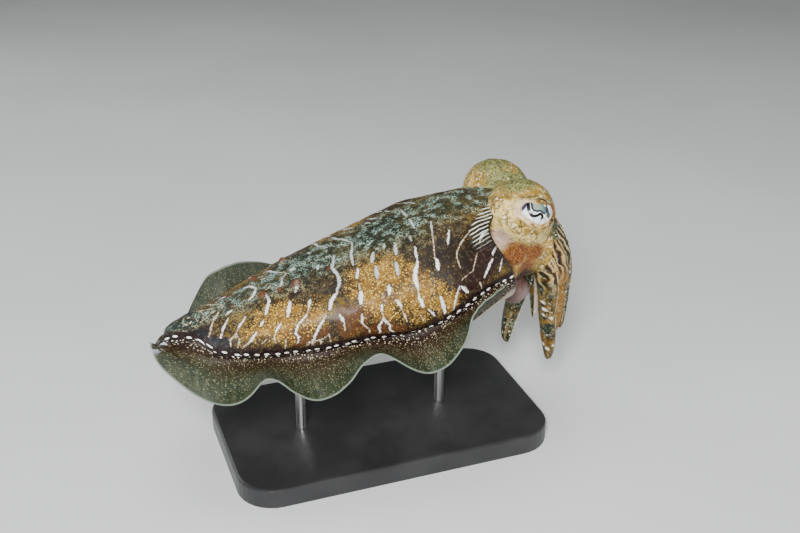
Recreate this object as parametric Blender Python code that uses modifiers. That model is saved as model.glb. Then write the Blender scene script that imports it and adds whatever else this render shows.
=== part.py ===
"""Common cuttlefish, life size, hovering head up with its arms hanging, on a plain display stand.

Metres, +Z up, +X towards the head, +Y towards the animal's left. The origin is the centre of the
stand's underside. Every soft part is worked out from a few named sizes, as a closed shape grown
from a sphere, a grid or a cone, and neighbours keep a gap of GAP.
"""

import math

import bmesh
import bpy
from mathutils import Matrix, Vector

GAP = 0.0004

# The mantle: its own axis runs from the tail tip, x = 0, to the tip of the lobe on the back.
MANTLE_LENGTH = 0.220
MANTLE_HALF_WIDTH = 0.053
MANTLE_BACK = 0.034
MANTLE_BELLY = 0.030
MANTLE_PITCH = math.radians(10.5)
TAIL_POINT = Vector((-0.122, 0.0, 0.077))
MANTLE_FULLNESS = 2.15
MANTLE_BACK_RISE = ((0.0, 1.0), (0.45, 1.0), (0.68, 1.02), (0.88, 1.10), (1.0, 1.22))
MANTLE_GIRTH = (
    (0.0, 0.0),
    (0.02, 0.18),
    (0.10, 0.41),
    (0.30, 0.70),
    (0.50, 0.88),
    (0.72, 1.0),
    (0.88, 0.95),
    (1.0, 0.82),
)
LOBE_REACH = 0.028
EYE_NOTCH = 0.007
EYE_NOTCH_ANGLE, EYE_NOTCH_SPREAD = math.radians(46.0), math.radians(32.0)
TAIL_LIFT, TAIL_LIFT_END = 0.010, 0.20
LOBE_SHARPNESS = 12
MOUTH_OF_MANTLE = (
    (0.965, 0.0012),
    (0.925, -0.0005),
    (0.88, -0.006),
    (0.78, -0.014),
    (0.40, -0.016),
)

# The fins: one skirt along each side, from the tail to just behind the rim of the mantle.
FIN_WIDTH = 0.025
FIN_SPAN = (
    (0.0, 0.40),
    (0.05, 0.72),
    (0.13, 1.1),
    (0.5, 1.0),
    (0.68, 1.0),
    (0.80, 0.75),
    (0.92, 0.5),
    (1.0, 0.12),
)
FIN_ROOT_ANGLE = ((0.0, -8.0), (0.15, -18.0), (0.62, -20.0), (0.85, -6.0), (1.0, 0.0))
FIN_START, FIN_END = 0.012, 0.955
FIN_ROOT_THICKNESS, FIN_EDGE_THICKNESS = 0.0024, 0.0008
FIN_LENGTHS = ("rear", "middle", "front")
FIN_SINK = 0.003
FIN_BACKSWEEP = math.radians(76.0)
FIN_BACKSWEEP_END = 0.16
FIN_DROOP_RIGHT = (
    (0.0, -50),
    (0.09, 34),
    (0.20, -12),
    (0.31, 33),
    (0.46, -18),
    (0.58, 30),
    (0.67, -2),
    (0.75, -34),
    (1.0, -38),
)
FIN_DROOP_LEFT = (
    (0.0, 40),
    (0.09, 34),
    (0.16, -40),
    (0.22, -60),
    (0.32, -30),
    (0.44, 10),
    (0.62, -10),
    (0.80, 16),
    (1.0, 0),
)

# The head, from the point midway between the two eye bulges.
HEAD = Vector((0.081, 0.0, 0.1385))
BULGE_RADIUS = 0.0205
BULGE_SIDE = 0.0165
EYEBALL_RADIUS = 0.0125
EYEBALL_OUT = 0.0098
EYE_DIRECTION = Vector((0.22, 1.0, 0.30))
HEAD_VOXEL = 0.0045
LID_THICKNESS = 0.0015
LID_OPENING = {"upper": 0.0084, "lower": 0.0088}
LID_LEAN = math.radians(28.0)

# The arms: eight round a common spine that bends down in front of the head.
SPINE = (
    (0.0, 0.004, -0.010),
    (0.10, 0.0135, -0.0170),
    (0.26, 0.0240, -0.033),
    (0.45, 0.0285, -0.052),
    (0.72, 0.0295, -0.078),
    (1.0, 0.0285, -0.106),
)
RING_OUT = ((0.0, 0.0120), (0.20, 0.0112), (0.45, 0.0084), (0.75, 0.0078), (1.0, 0.0078))
RING_SIDE = ((0.0, 0.0190), (0.20, 0.0195), (0.45, 0.0155), (0.75, 0.0130), (1.0, 0.0125))
ARM_START = 0.05
ARM_TIP = 0.14
ARM_OUTER, ARM_INNER = 0.42, 0.30
KEEL_START, KEEL_END = 0.12, 0.45
ARM_FULLNESS = 2.5
SUCKER_PAIRS = {"root": 4, "middle": 5, "tip": 4}
SUCKER_SIDES = 5
SUCKER_WIDTH, SUCKER_OFFSET = 0.37, 0.40
SUCKER_SINK, SUCKER_RISE = 0.0013, 0.0010
ARM_LENGTHS = ("root", "middle", "tip")

# The funnel, under the head.
FUNNEL_BASE = Vector((-0.010, -0.002, -0.036))
FUNNEL_MOUTH = Vector((0.0070, -0.0080, -0.0575))
FUNNEL_RADII = (0.0130, 0.0078)
FUNNEL_WALL = 0.0014
FUNNEL_DEPTH = 0.011

# The stand.
BASE_SIZE = (0.190, 0.110, 0.012)
BASE_CORNER = 0.022
BASE_EDGE = 0.0015
ROD_RADIUS = 0.003
ROD_X = {"rear": -0.048, "front": 0.040}
ROD_SEAT = 0.007
ROD_SINK = 0.008


def along(stations, t):
    """The value at t of a smooth curve through (t, value) stations."""
    t = min(max(t, stations[0][0]), stations[-1][0])
    i = 0
    while i < len(stations) - 2 and t > stations[i + 1][0]:
        i += 1

    def slope(k):
        low, high = stations[max(k - 1, 0)], stations[min(k + 1, len(stations) - 1)]
        return (high[1] - low[1]) / (high[0] - low[0])

    (t0, v0), (t1, v1) = stations[i], stations[i + 1]
    h = t1 - t0
    u = (t - t0) / h
    return (
        v0 * (1 + 2 * u) * (1 - u) ** 2
        + slope(i) * h * u * (1 - u) ** 2
        + v1 * u * u * (3 - 2 * u)
        + slope(i + 1) * h * u * u * (u - 1)
    )


def eased(t, start, end):
    """0 before start, 1 after end, smooth between."""
    u = min(max((t - start) / (end - start), 0.0), 1.0)
    return u * u * (3 - 2 * u)


def signed_power(value, power):
    return math.copysign(abs(value) ** power, value)


# Making, cutting and joining meshes


def new_object(name, mesh, material, collection):
    obj = bpy.data.objects.new(name, mesh)
    mesh.materials.clear()
    mesh.materials.append(material)
    collection.objects.link(obj)
    return obj


def mesh_from(bm, name):
    bmesh.ops.recalc_face_normals(bm, faces=bm.faces)
    if bm.calc_volume(signed=True) < 0:
        bmesh.ops.reverse_faces(bm, faces=bm.faces)
    bmesh.ops.triangulate(bm, faces=bm.faces)
    mesh = bpy.data.meshes.new(name)
    bm.to_mesh(mesh)
    bm.free()
    mesh.shade_smooth()
    return mesh


def moulded(name, around, rings, surface):
    """A sphere of so many segments and rings, each point moved to surface(ring number, angle)."""
    bm = bmesh.new()
    bmesh.ops.create_uvsphere(bm, u_segments=around, v_segments=rings, radius=1.0)
    for vert in bm.verts:
        height = min(max(vert.co.z, -1.0), 1.0)
        ring = round(math.acos(-height) / math.pi * rings)
        vert.co = surface(ring, math.atan2(vert.co.y, vert.co.x))
    return mesh_from(bm, name)


def ellipsoid(centre, sizes, around=24, rings=16):
    def surface(ring, angle):
        tilt = math.pi * ring / rings
        across = math.sin(tilt)
        ahead, sideways, up = -math.cos(tilt), across * math.cos(angle), across * math.sin(angle)
        return centre + Vector((sizes[0] * ahead, sizes[1] * sideways, sizes[2] * up))

    return moulded("ellipsoid", around, rings, surface)


def applied(obj):
    """Applies the object's modifiers and keeps its largest closed surface."""
    graph = bpy.context.evaluated_depsgraph_get()
    mesh = bpy.data.meshes.new_from_object(obj.evaluated_get(graph))
    obj.modifiers.clear()
    obj.data = mesh
    bm = bmesh.new()
    bm.from_mesh(mesh)
    bmesh.ops.triangulate(bm, faces=bm.faces)
    groups, left = [], set(bm.verts)
    while left:
        front = [left.pop()]
        group = set(front)
        while front:
            near = {edge.other_vert(vert) for vert in front for edge in vert.link_edges} - group
            group |= near
            front = list(near)
        left -= group
        groups.append(group)
    largest = max(groups, key=len)
    bmesh.ops.delete(bm, geom=[vert for vert in bm.verts if vert not in largest], context="VERTS")
    bm.to_mesh(mesh)
    bm.free()
    return obj


def boolean(obj, other, operation, solver="EXACT"):
    modifier = obj.modifiers.new("cut" if operation == "DIFFERENCE" else "join", "BOOLEAN")
    modifier.operation = operation
    modifier.solver = solver
    modifier.object = other
    return applied(obj)


def swollen(obj, cutters, gap=GAP):
    """A hidden copy of a piece, larger by the gap all round, that cuts its neighbours clear of it."""
    cutter = bpy.data.objects.new(obj.name + "_clearance", obj.data.copy())
    cutters.objects.link(cutter)
    cutter.hide_render = True
    cutter.display_type = "WIRE"
    push = cutter.modifiers.new("gap", "DISPLACE")
    push.strength = gap
    push.mid_level = 0.0
    return cutter


def cut_clear(obj, cutter):
    return boolean(obj, cutter, "DIFFERENCE")


def joined(obj, meshes, solver="EXACT"):
    """Joins closed meshes to the object by one Boolean union over a collection."""
    pieces = bpy.data.collections.new(obj.name + "_pieces")
    bpy.context.scene.collection.children.link(pieces)
    for mesh in meshes:
        pieces.objects.link(bpy.data.objects.new(obj.name + "_piece", mesh))
    modifier = obj.modifiers.new("join", "BOOLEAN")
    modifier.operation = "UNION"
    modifier.solver = solver
    modifier.operand_type = "COLLECTION"
    modifier.collection = pieces
    applied(obj)
    for piece in list(pieces.objects):
        bpy.data.objects.remove(piece)
    bpy.data.collections.remove(pieces)
    return obj


# The mantle

MANTLE_RINGS = 22
MANTLE_AROUND = 32


def in_world(x, y, z):
    """A point of the mantle's own axes in the part's frame. The tail end turns up a little."""
    lift = TAIL_LIFT * (1 - min(max(x / (TAIL_LIFT_END * MANTLE_LENGTH), 0.0), 1.0)) ** 2
    return TAIL_POINT + Matrix.Rotation(-MANTLE_PITCH, 3, "Y") @ Vector((x, y, z + lift))


def mantle_offset(t, angle, scale=1.0):
    """Across and up from the mantle's axis, at t along it. Angle 0 is its left side, 90 degrees its back."""
    girth = along(MANTLE_GIRTH, t) * scale
    height = MANTLE_BACK * along(MANTLE_BACK_RISE, t) if math.sin(angle) > 0 else MANTLE_BELLY
    power = 2 / MANTLE_FULLNESS
    return (
        girth * MANTLE_HALF_WIDTH * signed_power(math.cos(angle), power),
        girth * height * signed_power(math.sin(angle), power),
    )


def mantle_reach(t, angle):
    """The distance along the axis: the rim stands forward at the lobe on the back, with room for each eye."""
    lobe = max(math.sin(angle), 0.0) ** LOBE_SHARPNESS
    from_side = math.asin(math.sin(angle))
    notch = math.exp(-(((from_side - EYE_NOTCH_ANGLE) / EYE_NOTCH_SPREAD) ** 2))
    return MANTLE_LENGTH * t - (LOBE_REACH * (1 - lobe) + EYE_NOTCH * notch) * eased(t, 0.6, 1.0)


def mantle_surface(t, angle, scale=1.0, forward=0.0):
    across, up = mantle_offset(t, angle, scale)
    return in_world(mantle_reach(t, angle) + forward, across, up)


def mantle(material, collection):
    inside = len(MOUTH_OF_MANTLE) + 1
    last = MANTLE_RINGS - inside

    def surface(ring, angle):
        if ring <= last:
            return mantle_surface((ring / last) ** 1.35, angle)
        if ring == MANTLE_RINGS:
            return mantle_surface(1.0, 0.0, 0.0, MOUTH_OF_MANTLE[-1][1])
        scale, forward = MOUTH_OF_MANTLE[ring - last - 1]
        return mantle_surface(1.0, angle, scale, forward)

    return new_object("mantle", moulded("mantle", MANTLE_AROUND, MANTLE_RINGS, surface), material, collection)


# The fins

FIN_STEPS_ALONG = 12
FIN_STEPS_OUT = 5


def fin_droop(side, t):
    """How far the fin hangs, as an angle: waves run along each fin, out of step with each other."""
    return math.radians(along(FIN_DROOP_RIGHT if side < 0 else FIN_DROOP_LEFT, t))


def fin_root_angle(side, t):
    """Where round the mantle the fin grows, in the angle of mantle_offset."""
    low = math.radians(along(FIN_ROOT_ANGLE, t))
    return low if side > 0 else math.pi - low


def fin_point(side, t, out):
    """A point on the fin's upper face: side -1 is the right fin, out 0 its root and 1 its edge."""
    root_angle = fin_root_angle(side, t)
    across, up = mantle_offset(t, root_angle)
    sweep = FIN_BACKSWEEP * (1 - eased(t, 0.0, FIN_BACKSWEEP_END))
    outward = Vector((-math.sin(sweep), side * math.cos(sweep), 0.0))
    droop = fin_droop(side, t) * (0.45 + 0.55 * out)
    reach = FIN_WIDTH * along(FIN_SPAN, t) * out - FIN_SINK * (1 - out)
    local = Vector((mantle_reach(t, root_angle), across, up)) + outward * (reach * math.cos(droop))
    return in_world(local.x, local.y, local.z - reach * math.sin(droop))


def fin_length(side, first, last, name):
    """A stretch of fin: a flat grid, split into triangles, bent to the wave and thickened downwards."""
    bm = bmesh.new()
    bmesh.ops.create_grid(bm, x_segments=FIN_STEPS_ALONG, y_segments=FIN_STEPS_OUT, size=1.0)
    bmesh.ops.triangulate(bm, faces=bm.faces, quad_method="FIXED")
    share = {vert: ((vert.co.x + 1) / 2, (vert.co.y + 1) / 2) for vert in bm.verts}
    for vert, (lengthwise, out) in share.items():
        vert.co = fin_point(side, first + (last - first) * lengthwise, out)
    bm.normal_update()
    thickness = {}
    for vert, (lengthwise, out) in share.items():
        thickness[tuple(vert.co)] = FIN_ROOT_THICKNESS + (FIN_EDGE_THICKNESS - FIN_ROOT_THICKNESS) * out
    made = bmesh.ops.extrude_face_region(bm, geom=list(bm.faces))
    below = [item for item in made["geom"] if isinstance(item, bmesh.types.BMVert)]
    for vert in below:
        down = vert.normal if vert.normal.z < 0 else -vert.normal
        vert.co = vert.co + down * thickness[tuple(vert.co)]
    return mesh_from(bm, name)


def fins(material, collection, mantle_clearance):
    for side, side_name in ((1, "left"), (-1, "right")):
        step = (FIN_END - FIN_START) / len(FIN_LENGTHS)
        for i, length in enumerate(FIN_LENGTHS):
            first = FIN_START + step * i + (GAP / MANTLE_LENGTH if i else 0.0)
            name = f"fin_{side_name}_{length}"
            mesh = fin_length(side, first, FIN_START + step * (i + 1), name)
            cut_clear(new_object(name, mesh, material, collection), mantle_clearance)


# The head and eyes


def head_core():
    """The fleshy mass of the head: eye bulges, cheeks, neck inside the mantle and crown of the arms."""
    lumps = [
        ellipsoid(HEAD + Vector((0.0, side * BULGE_SIDE, 0.0)), (BULGE_RADIUS,) * 3) for side in (1, -1)
    ]
    lumps.append(ellipsoid(HEAD + Vector((0.002, 0.0, -0.017)), (0.0260, 0.0310, 0.0290)))
    lumps.append(ellipsoid(HEAD + Vector((-0.017, 0.0, -0.026)), (0.0260, 0.0370, 0.0225)))
    lumps.append(ellipsoid(HEAD + Vector((0.010, 0.0, -0.016)), (0.0185, 0.0215, 0.0225)))
    return lumps


def head(material, collection):
    bm = bmesh.new()
    for mesh in head_core():
        bm.from_mesh(mesh)
    obj = new_object("head", mesh_from(bm, "head"), material, collection)
    remesh = obj.modifiers.new("one_skin", "REMESH")
    remesh.mode = "VOXEL"
    remesh.voxel_size = HEAD_VOXEL
    smooth = obj.modifiers.new("soften", "SMOOTH")
    smooth.factor = 0.5
    smooth.iterations = 5
    applied(obj)
    return joined(obj, [lid(side, which) for side in (1, -1) for which in LID_OPENING])


def eye_place(side):
    """The middle of the eyeball, and the way that the eye looks."""
    outward = EYE_DIRECTION.normalized()
    outward.y *= side
    return HEAD + Vector((0.0, side * BULGE_SIDE, 0.0)) + outward * EYEBALL_OUT, outward


def lid(side, which):
    """A cap of a sphere round the eyeball, its margin arched by a leaning cut. The ball hollows it later."""
    centre, outward = eye_place(side)
    up = Vector((0.0, 0.0, 1.0)) if which == "upper" else Vector((0.0, 0.0, -1.0))
    up = (up - outward * up.dot(outward)).normalized()
    margin_normal = up * math.cos(LID_LEAN) - outward * math.sin(LID_LEAN)
    bm = bmesh.new()
    bmesh.ops.create_uvsphere(bm, u_segments=18, v_segments=10, radius=EYEBALL_RADIUS + LID_THICKNESS)
    bmesh.ops.translate(bm, vec=centre, verts=bm.verts)
    cut = bmesh.ops.bisect_plane(
        bm,
        geom=bm.verts[:] + bm.edges[:] + bm.faces[:],
        plane_co=centre + up * LID_OPENING[which] + outward * (0.7 * EYEBALL_RADIUS),
        plane_no=margin_normal,
        clear_inner=True,
    )
    rim = [item for item in cut["geom_cut"] if isinstance(item, bmesh.types.BMEdge)]
    bmesh.ops.contextual_create(bm, geom=rim)
    return mesh_from(bm, "lid")


def eyeball(side, material, collection, name):
    centre, _ = eye_place(side)
    return new_object(name, ellipsoid(centre, (EYEBALL_RADIUS,) * 3, 16, 10), material, collection)


# The arms

ARM_AROUND = 12
ARM_RINGS = 6


class Arm:
    """One arm: its place round the spine in degrees from the front, its length and its share of the crown.

    The lowest pair carry a keel on their outer face, and stray from the others towards their tips.
    """

    def __init__(
        self, name, side, place, half_angle, length, blunt, keel=0.0, stray=(0.0, 0.0, 0.0), parting=0.25
    ):
        self.name = name
        self.side = side
        self.place = math.radians(place)
        self.half_angle = math.radians(half_angle)
        self.length = length
        self.blunt = blunt
        self.keel = keel
        self.stray = Vector(stray)
        self.parting = parting


ARMS = (
    Arm("arm_right_1", -1, 16.0, 15.5, 0.77, 0.24),
    Arm("arm_right_2", -1, 48.0, 16.0, 0.79, 0.24),
    Arm("arm_right_3", -1, 82.5, 18.0, 0.78, 0.24),
    Arm("arm_right_4", -1, 130.5, 29.5, 1.00, 0.13, 0.22, (0.0045, 0.0, 0.0), 0.55),
    Arm("arm_left_1", 1, 19.0, 18.5, 0.75, 0.28),
    Arm("arm_left_2", 1, 57.0, 18.5, 0.80, 0.28),
    Arm("arm_left_3", 1, 99.0, 22.5, 0.82, 0.28),
    Arm("arm_left_4", 1, 149.5, 27.5, 0.98, 0.18, 0.42, (-0.010, 0.009, 0.0)),
)


def spine(u):
    return HEAD + Vector(
        (along([(t, x) for t, x, z in SPINE], u), 0.0, along([(t, z) for t, x, z in SPINE], u))
    )


def spine_frame(u):
    """Forward along the spine, and out to the front across it."""
    step = 0.01
    ahead = (spine(min(u + step, 1.0)) - spine(max(u - step, 0.0))).normalized()
    outer = Vector((0.0, 1.0, 0.0)).cross(ahead)
    if outer.x < 0:
        outer = -outer
    return ahead, outer


def crown_point(arm, share, place, distance):
    """A point of the crown: at a share of the arm's length, an angle from the front, and ring radii out."""
    u = ARM_START + (arm.length - ARM_START) * share
    _, outer = spine_frame(u)
    ahead = outer * (along(RING_OUT, u) * distance * math.cos(place))
    sideways = arm.side * along(RING_SIDE, u) * distance * math.sin(place)
    return spine(u) + ahead + Vector((0.0, sideways, 0.0)) + arm.stray * eased(u, arm.parting, 1.0)


def arm_taper(arm, share):
    return ARM_TIP + (1 - ARM_TIP) * math.sqrt(max(1 - share ** (1 / arm.blunt), 0.0))


def arm_point(arm, share, angle):
    """A point on the arm's skin. Angle 0 is one edge, 90 degrees the outer face, 270 the face with suckers.

    Each arm fills its own sector of the crown, so that neighbours lie side by side and never cross.
    """
    power = 2 / ARM_FULLNESS
    taper = arm_taper(arm, share)
    keeled = ARM_OUTER + arm.keel * eased(share, KEEL_START, KEEL_END)
    thickness = keeled if math.sin(angle) > 0 else ARM_INNER
    distance = 1 + thickness * taper * signed_power(math.sin(angle), power)
    ring = along(RING_OUT, ARM_START + (arm.length - ARM_START) * share)
    half_angle = arm.half_angle - GAP / (ring * distance)
    place = arm.place + half_angle * taper * signed_power(math.cos(angle), power)
    return crown_point(arm, share, place, distance)


def arm_length(arm, first, last, name):
    def surface(ring, angle):
        inner = min(max(ring - 1, 0), ARM_RINGS - 2)
        share = first + (last - first) * inner / (ARM_RINGS - 2)
        if ring in (0, ARM_RINGS):
            return crown_point(arm, share, arm.place, 1.0)
        return arm_point(arm, share, angle)

    return moulded(name, ARM_AROUND, ARM_RINGS, surface)


def suckers(arm, first, last, pairs):
    """Short cups in two staggered rows down the arm's inner face, smaller to its tip, and sunk in it."""
    meshes = []
    for i in range(2 * pairs):
        share = first + (last - first) * (i + 0.9) / (2 * pairs + 0.8)
        taper = arm_taper(arm, share)
        inner_face = 1 - ARM_INNER * taper
        spread = arm.half_angle * taper
        edges = [crown_point(arm, share, arm.place + way * spread, inner_face) for way in (-1, 1)]
        room = (edges[1] - edges[0]).length / 2
        place = arm.place + (SUCKER_OFFSET if i % 2 else -SUCKER_OFFSET) * spread
        root = crown_point(arm, share, place, inner_face)
        inward = (crown_point(arm, share, place, inner_face - 0.1) - root).normalized()
        radius = SUCKER_WIDTH * room
        sink, rise = SUCKER_SINK * (0.4 + 0.6 * taper), SUCKER_RISE * (0.4 + 0.6 * taper)
        bm = bmesh.new()
        bmesh.ops.create_cone(
            bm, cap_ends=True, segments=SUCKER_SIDES, radius1=0.75 * radius, radius2=radius, depth=sink + rise
        )
        bmesh.ops.translate(bm, vec=(0.0, 0.0, (rise - sink) / 2), verts=bm.verts)
        turn = inward.to_track_quat("Z", "Y").to_matrix().to_4x4()
        bmesh.ops.transform(bm, matrix=Matrix.Translation(root) @ turn, verts=bm.verts)
        meshes.append(mesh_from(bm, "sucker"))
    return meshes


def arms(material, collection, head_clearance):
    whole = MANTLE_LENGTH / 2
    for arm in ARMS:
        for i, length in enumerate(ARM_LENGTHS):
            first = i / len(ARM_LENGTHS) + (GAP / whole if i else 0.0)
            name = f"{arm.name}_{length}"
            last = (i + 1) / len(ARM_LENGTHS)
            obj = new_object(name, arm_length(arm, first, last, name), material, collection)
            joined(obj, suckers(arm, first, last, SUCKER_PAIRS[length]))
            if i < 2:
                cut_clear(obj, head_clearance)


# The funnel

FUNNEL_AROUND = 16


def funnel(material, collection, clearances):
    """A short tapered tube from under the head, with an open mouth."""
    start, end = HEAD + FUNNEL_BASE, HEAD + FUNNEL_MOUTH
    way = (end - start).normalized()
    side = Vector((0.0, 1.0, 0.0)).cross(way).normalized()
    other = way.cross(side)
    length = (end - start).length
    bore = FUNNEL_RADII[1] - FUNNEL_WALL
    profile = (
        (0.0, 0.0),
        (0.0, FUNNEL_RADII[0]),
        (0.35 * length, 0.93 * FUNNEL_RADII[0]),
        (0.7 * length, 0.72 * FUNNEL_RADII[0]),
        (length, FUNNEL_RADII[1]),
        (length + 0.4 * FUNNEL_WALL, bore + 0.5 * FUNNEL_WALL),
        (length, bore),
        (length - FUNNEL_DEPTH, 0.85 * bore),
        (length - FUNNEL_DEPTH, 0.0),
    )

    def surface(ring, angle):
        ahead, radius = profile[ring]
        return start + way * ahead + side * (radius * math.cos(angle)) + other * (radius * math.sin(angle))

    mesh = moulded("funnel", FUNNEL_AROUND, len(profile) - 1, surface)
    obj = new_object("funnel", mesh, material, collection)
    for cutter in clearances:
        cut_clear(obj, cutter)
    return obj


# The stand


def stand_base(material, collection):
    bm = bmesh.new()
    bmesh.ops.create_cube(bm, size=1.0)
    bmesh.ops.scale(bm, vec=BASE_SIZE, verts=bm.verts)
    bmesh.ops.translate(bm, vec=(0.0, 0.0, BASE_SIZE[2] / 2), verts=bm.verts)
    upright = [edge for edge in bm.edges if abs(edge.verts[0].co.z - edge.verts[1].co.z) > BASE_SIZE[2] / 2]
    bmesh.ops.bevel(
        bm, geom=upright, offset=BASE_CORNER, segments=8, profile=0.5, affect="EDGES", material=-1
    )
    top = [edge for edge in bm.edges if all(vert.co.z > BASE_SIZE[2] - 1e-5 for vert in edge.verts)]
    bmesh.ops.bevel(bm, geom=top, offset=BASE_EDGE, segments=2, profile=0.5, affect="EDGES", material=-1)
    return new_object("stand_base", mesh_from(bm, "stand_base"), material, collection)


def mantle_underside(x):
    """The height of the belly over a point of the stand's centre line."""
    low = 0.0
    for i in range(201):
        point = mantle_surface(i / 200, -math.pi / 2)
        if point.x <= x:
            low = point.z
    return low


def stand_rod(place, material, collection):
    x = ROD_X[place]
    bottom = BASE_SIZE[2] - ROD_SEAT
    top = mantle_underside(x) + ROD_SINK
    bm = bmesh.new()
    bmesh.ops.create_cone(
        bm, cap_ends=True, segments=16, radius1=ROD_RADIUS, radius2=ROD_RADIUS, depth=top - bottom
    )
    bmesh.ops.translate(bm, vec=(x, 0.0, (top + bottom) / 2), verts=bm.verts)
    return new_object(f"stand_rod_{place}", mesh_from(bm, "stand_rod"), material, collection)


def material_of(name, colour, roughness, metallic=0.0):
    material = bpy.data.materials.new(name)
    material.use_nodes = True
    shader = material.node_tree.nodes["Principled BSDF"]
    shader.inputs["Base Color"].default_value = (*colour, 1.0)
    shader.inputs["Roughness"].default_value = roughness
    shader.inputs["Metallic"].default_value = metallic
    return material


def main():
    for obj in list(bpy.data.objects):
        bpy.data.objects.remove(obj)
    collection = bpy.data.collections.new("common_cuttlefish")
    cutters = bpy.data.collections.new("clearances")
    bpy.context.scene.collection.children.link(collection)
    bpy.context.scene.collection.children.link(cutters)

    mantle_skin = material_of("mantle_skin", (0.20, 0.14, 0.07), 0.45)
    head_skin = material_of("head_skin", (0.55, 0.45, 0.24), 0.45)
    arm_skin = material_of("arm_skin", (0.38, 0.29, 0.13), 0.45)
    fin_skin = material_of("fin_skin", (0.25, 0.20, 0.15), 0.40)
    funnel_skin = material_of("funnel_skin", (0.50, 0.40, 0.38), 0.40)
    eye_gloss = material_of("eye_gloss", (0.75, 0.78, 0.78), 0.10)
    base_paint = material_of("base_paint", (0.05, 0.05, 0.055), 0.50)
    rod_steel = material_of("rod_steel", (0.60, 0.60, 0.60), 0.30, 1.0)

    base = stand_base(base_paint, collection)
    rods = [stand_rod(place, rod_steel, collection) for place in ROD_X]
    body = mantle(mantle_skin, collection)
    for rod in rods:
        cutter = swollen(rod, cutters)
        cut_clear(base, cutter)
        cut_clear(body, cutter)
    mantle_clearance = swollen(body, cutters)

    skull = head(head_skin, collection)
    cut_clear(skull, mantle_clearance)
    for side, name in ((1, "eye_left"), (-1, "eye_right")):
        eye = eyeball(side, eye_gloss, collection, name)
        cut_clear(skull, swollen(eye, cutters))
    head_clearance = swollen(skull, cutters)

    fins(fin_skin, collection, mantle_clearance)
    arms(arm_skin, collection, head_clearance)
    funnel(funnel_skin, collection, (head_clearance, mantle_clearance))


main()
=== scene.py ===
import functools
import math

import bmesh
import bpy
from mathutils import Matrix, Vector, noise
from mathutils.bvhtree import BVHTree
from mathutils.interpolate import poly_3d_calc


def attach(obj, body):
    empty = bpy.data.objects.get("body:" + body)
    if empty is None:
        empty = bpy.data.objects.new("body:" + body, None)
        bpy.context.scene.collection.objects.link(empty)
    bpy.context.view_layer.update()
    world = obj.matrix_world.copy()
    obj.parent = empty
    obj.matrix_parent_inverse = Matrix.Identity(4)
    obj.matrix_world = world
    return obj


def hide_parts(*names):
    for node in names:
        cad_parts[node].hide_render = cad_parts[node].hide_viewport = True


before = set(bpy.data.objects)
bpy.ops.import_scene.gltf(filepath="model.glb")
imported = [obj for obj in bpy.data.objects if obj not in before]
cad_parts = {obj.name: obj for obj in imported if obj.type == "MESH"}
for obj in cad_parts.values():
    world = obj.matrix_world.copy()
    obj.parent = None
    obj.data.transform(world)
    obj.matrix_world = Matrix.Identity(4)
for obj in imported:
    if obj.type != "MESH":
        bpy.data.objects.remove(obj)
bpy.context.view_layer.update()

# The mantle and its two fins: a soft bag of muscle, open in front where the head comes out, with a thin
# waved skirt along each side. They are one skin of flesh. It is cast as a sphere drawn out to the mantle's
# shape, whose strip along each flank is extruded outwards, row by row, into the fin.

MANTLE_LENGTH = 0.220
MANTLE_HALF_WIDTH = 0.053
MANTLE_BACK = 0.034
MANTLE_BELLY = 0.030
MANTLE_PITCH = math.radians(10.5)
TAIL_POINT = Vector((-0.122, 0.0, 0.077))
MANTLE_FULLNESS = 2.15
MANTLE_BACK_RISE = ((0.0, 1.0), (0.45, 1.0), (0.68, 1.02), (0.88, 1.10), (1.0, 1.22))
MANTLE_GIRTH = (
    (0.0, 0.0), (0.02, 0.18), (0.10, 0.41), (0.30, 0.70), (0.50, 0.88), (0.72, 1.0), (0.88, 0.95),
    (1.0, 0.82),
)
LOBE_REACH = 0.028
LOBE_SHARPNESS = 12
EYE_NOTCH = 0.007
EYE_NOTCH_ANGLE, EYE_NOTCH_SPREAD = math.radians(46.0), math.radians(32.0)
TAIL_LIFT, TAIL_LIFT_END = 0.010, 0.20
MOUTH_SCALE = ((0, 1.0), (1, 0.965), (2, 0.925), (3, 0.88), (4, 0.78), (5, 0.40))
MOUTH_FORWARD = ((0, 0.0), (1, 0.0012), (2, -0.0005), (3, -0.006), (4, -0.014), (5, -0.016))

FIN_WIDTH = 0.025
FIN_SPAN = (
    (0.0, 0.40), (0.05, 0.72), (0.13, 1.1), (0.5, 1.0), (0.68, 1.0), (0.80, 0.75), (0.92, 0.5), (1.0, 0.12),
)
FIN_ROOT_ANGLE = ((0.0, -8.0), (0.15, -18.0), (0.62, -20.0), (0.85, -6.0), (1.0, 0.0))
FIN_START, FIN_END = 0.012, 0.955
FIN_ROOT_THICKNESS, FIN_EDGE_THICKNESS = 0.0024, 0.0008
FIN_SINK = 0.003
FIN_BACKSWEEP = math.radians(76.0)
FIN_BACKSWEEP_END = 0.16
FIN_DROOP = {
    -1: ((0.0, -50), (0.09, 34), (0.20, -12), (0.31, 33), (0.46, -18), (0.58, 30), (0.67, -2), (0.75, -34),
         (1.0, -38)),
    1: ((0.0, 40), (0.09, 34), (0.16, -40), (0.22, -60), (0.32, -30), (0.44, 10), (0.62, -10), (0.80, 16),
        (1.0, 0)),
}

SKIN_AROUND, SKIN_RINGS, MOUTH_RINGS = 168, 180, 14
HALF_ROUND, QUARTER_ROUND = SKIN_AROUND // 2, SKIN_AROUND // 4
RING_CROWDING = 1.2
FIN_ROWS = 22
ROW_CROWDING = 1.35
FILLET = 0.0028
FILLET_REACH = 0.0055
FIN_EDGE_ROUND = 0.0003
FIN_RIPPLE, FIN_RIPPLE_LENGTH = 0.0007, 0.0065
SKIN_SWELL, SKIN_SWELL_LENGTH = 0.0005, 0.020
SKIN_PUCKER, SKIN_PUCKER_LENGTH = 0.00032, 0.0052


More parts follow.
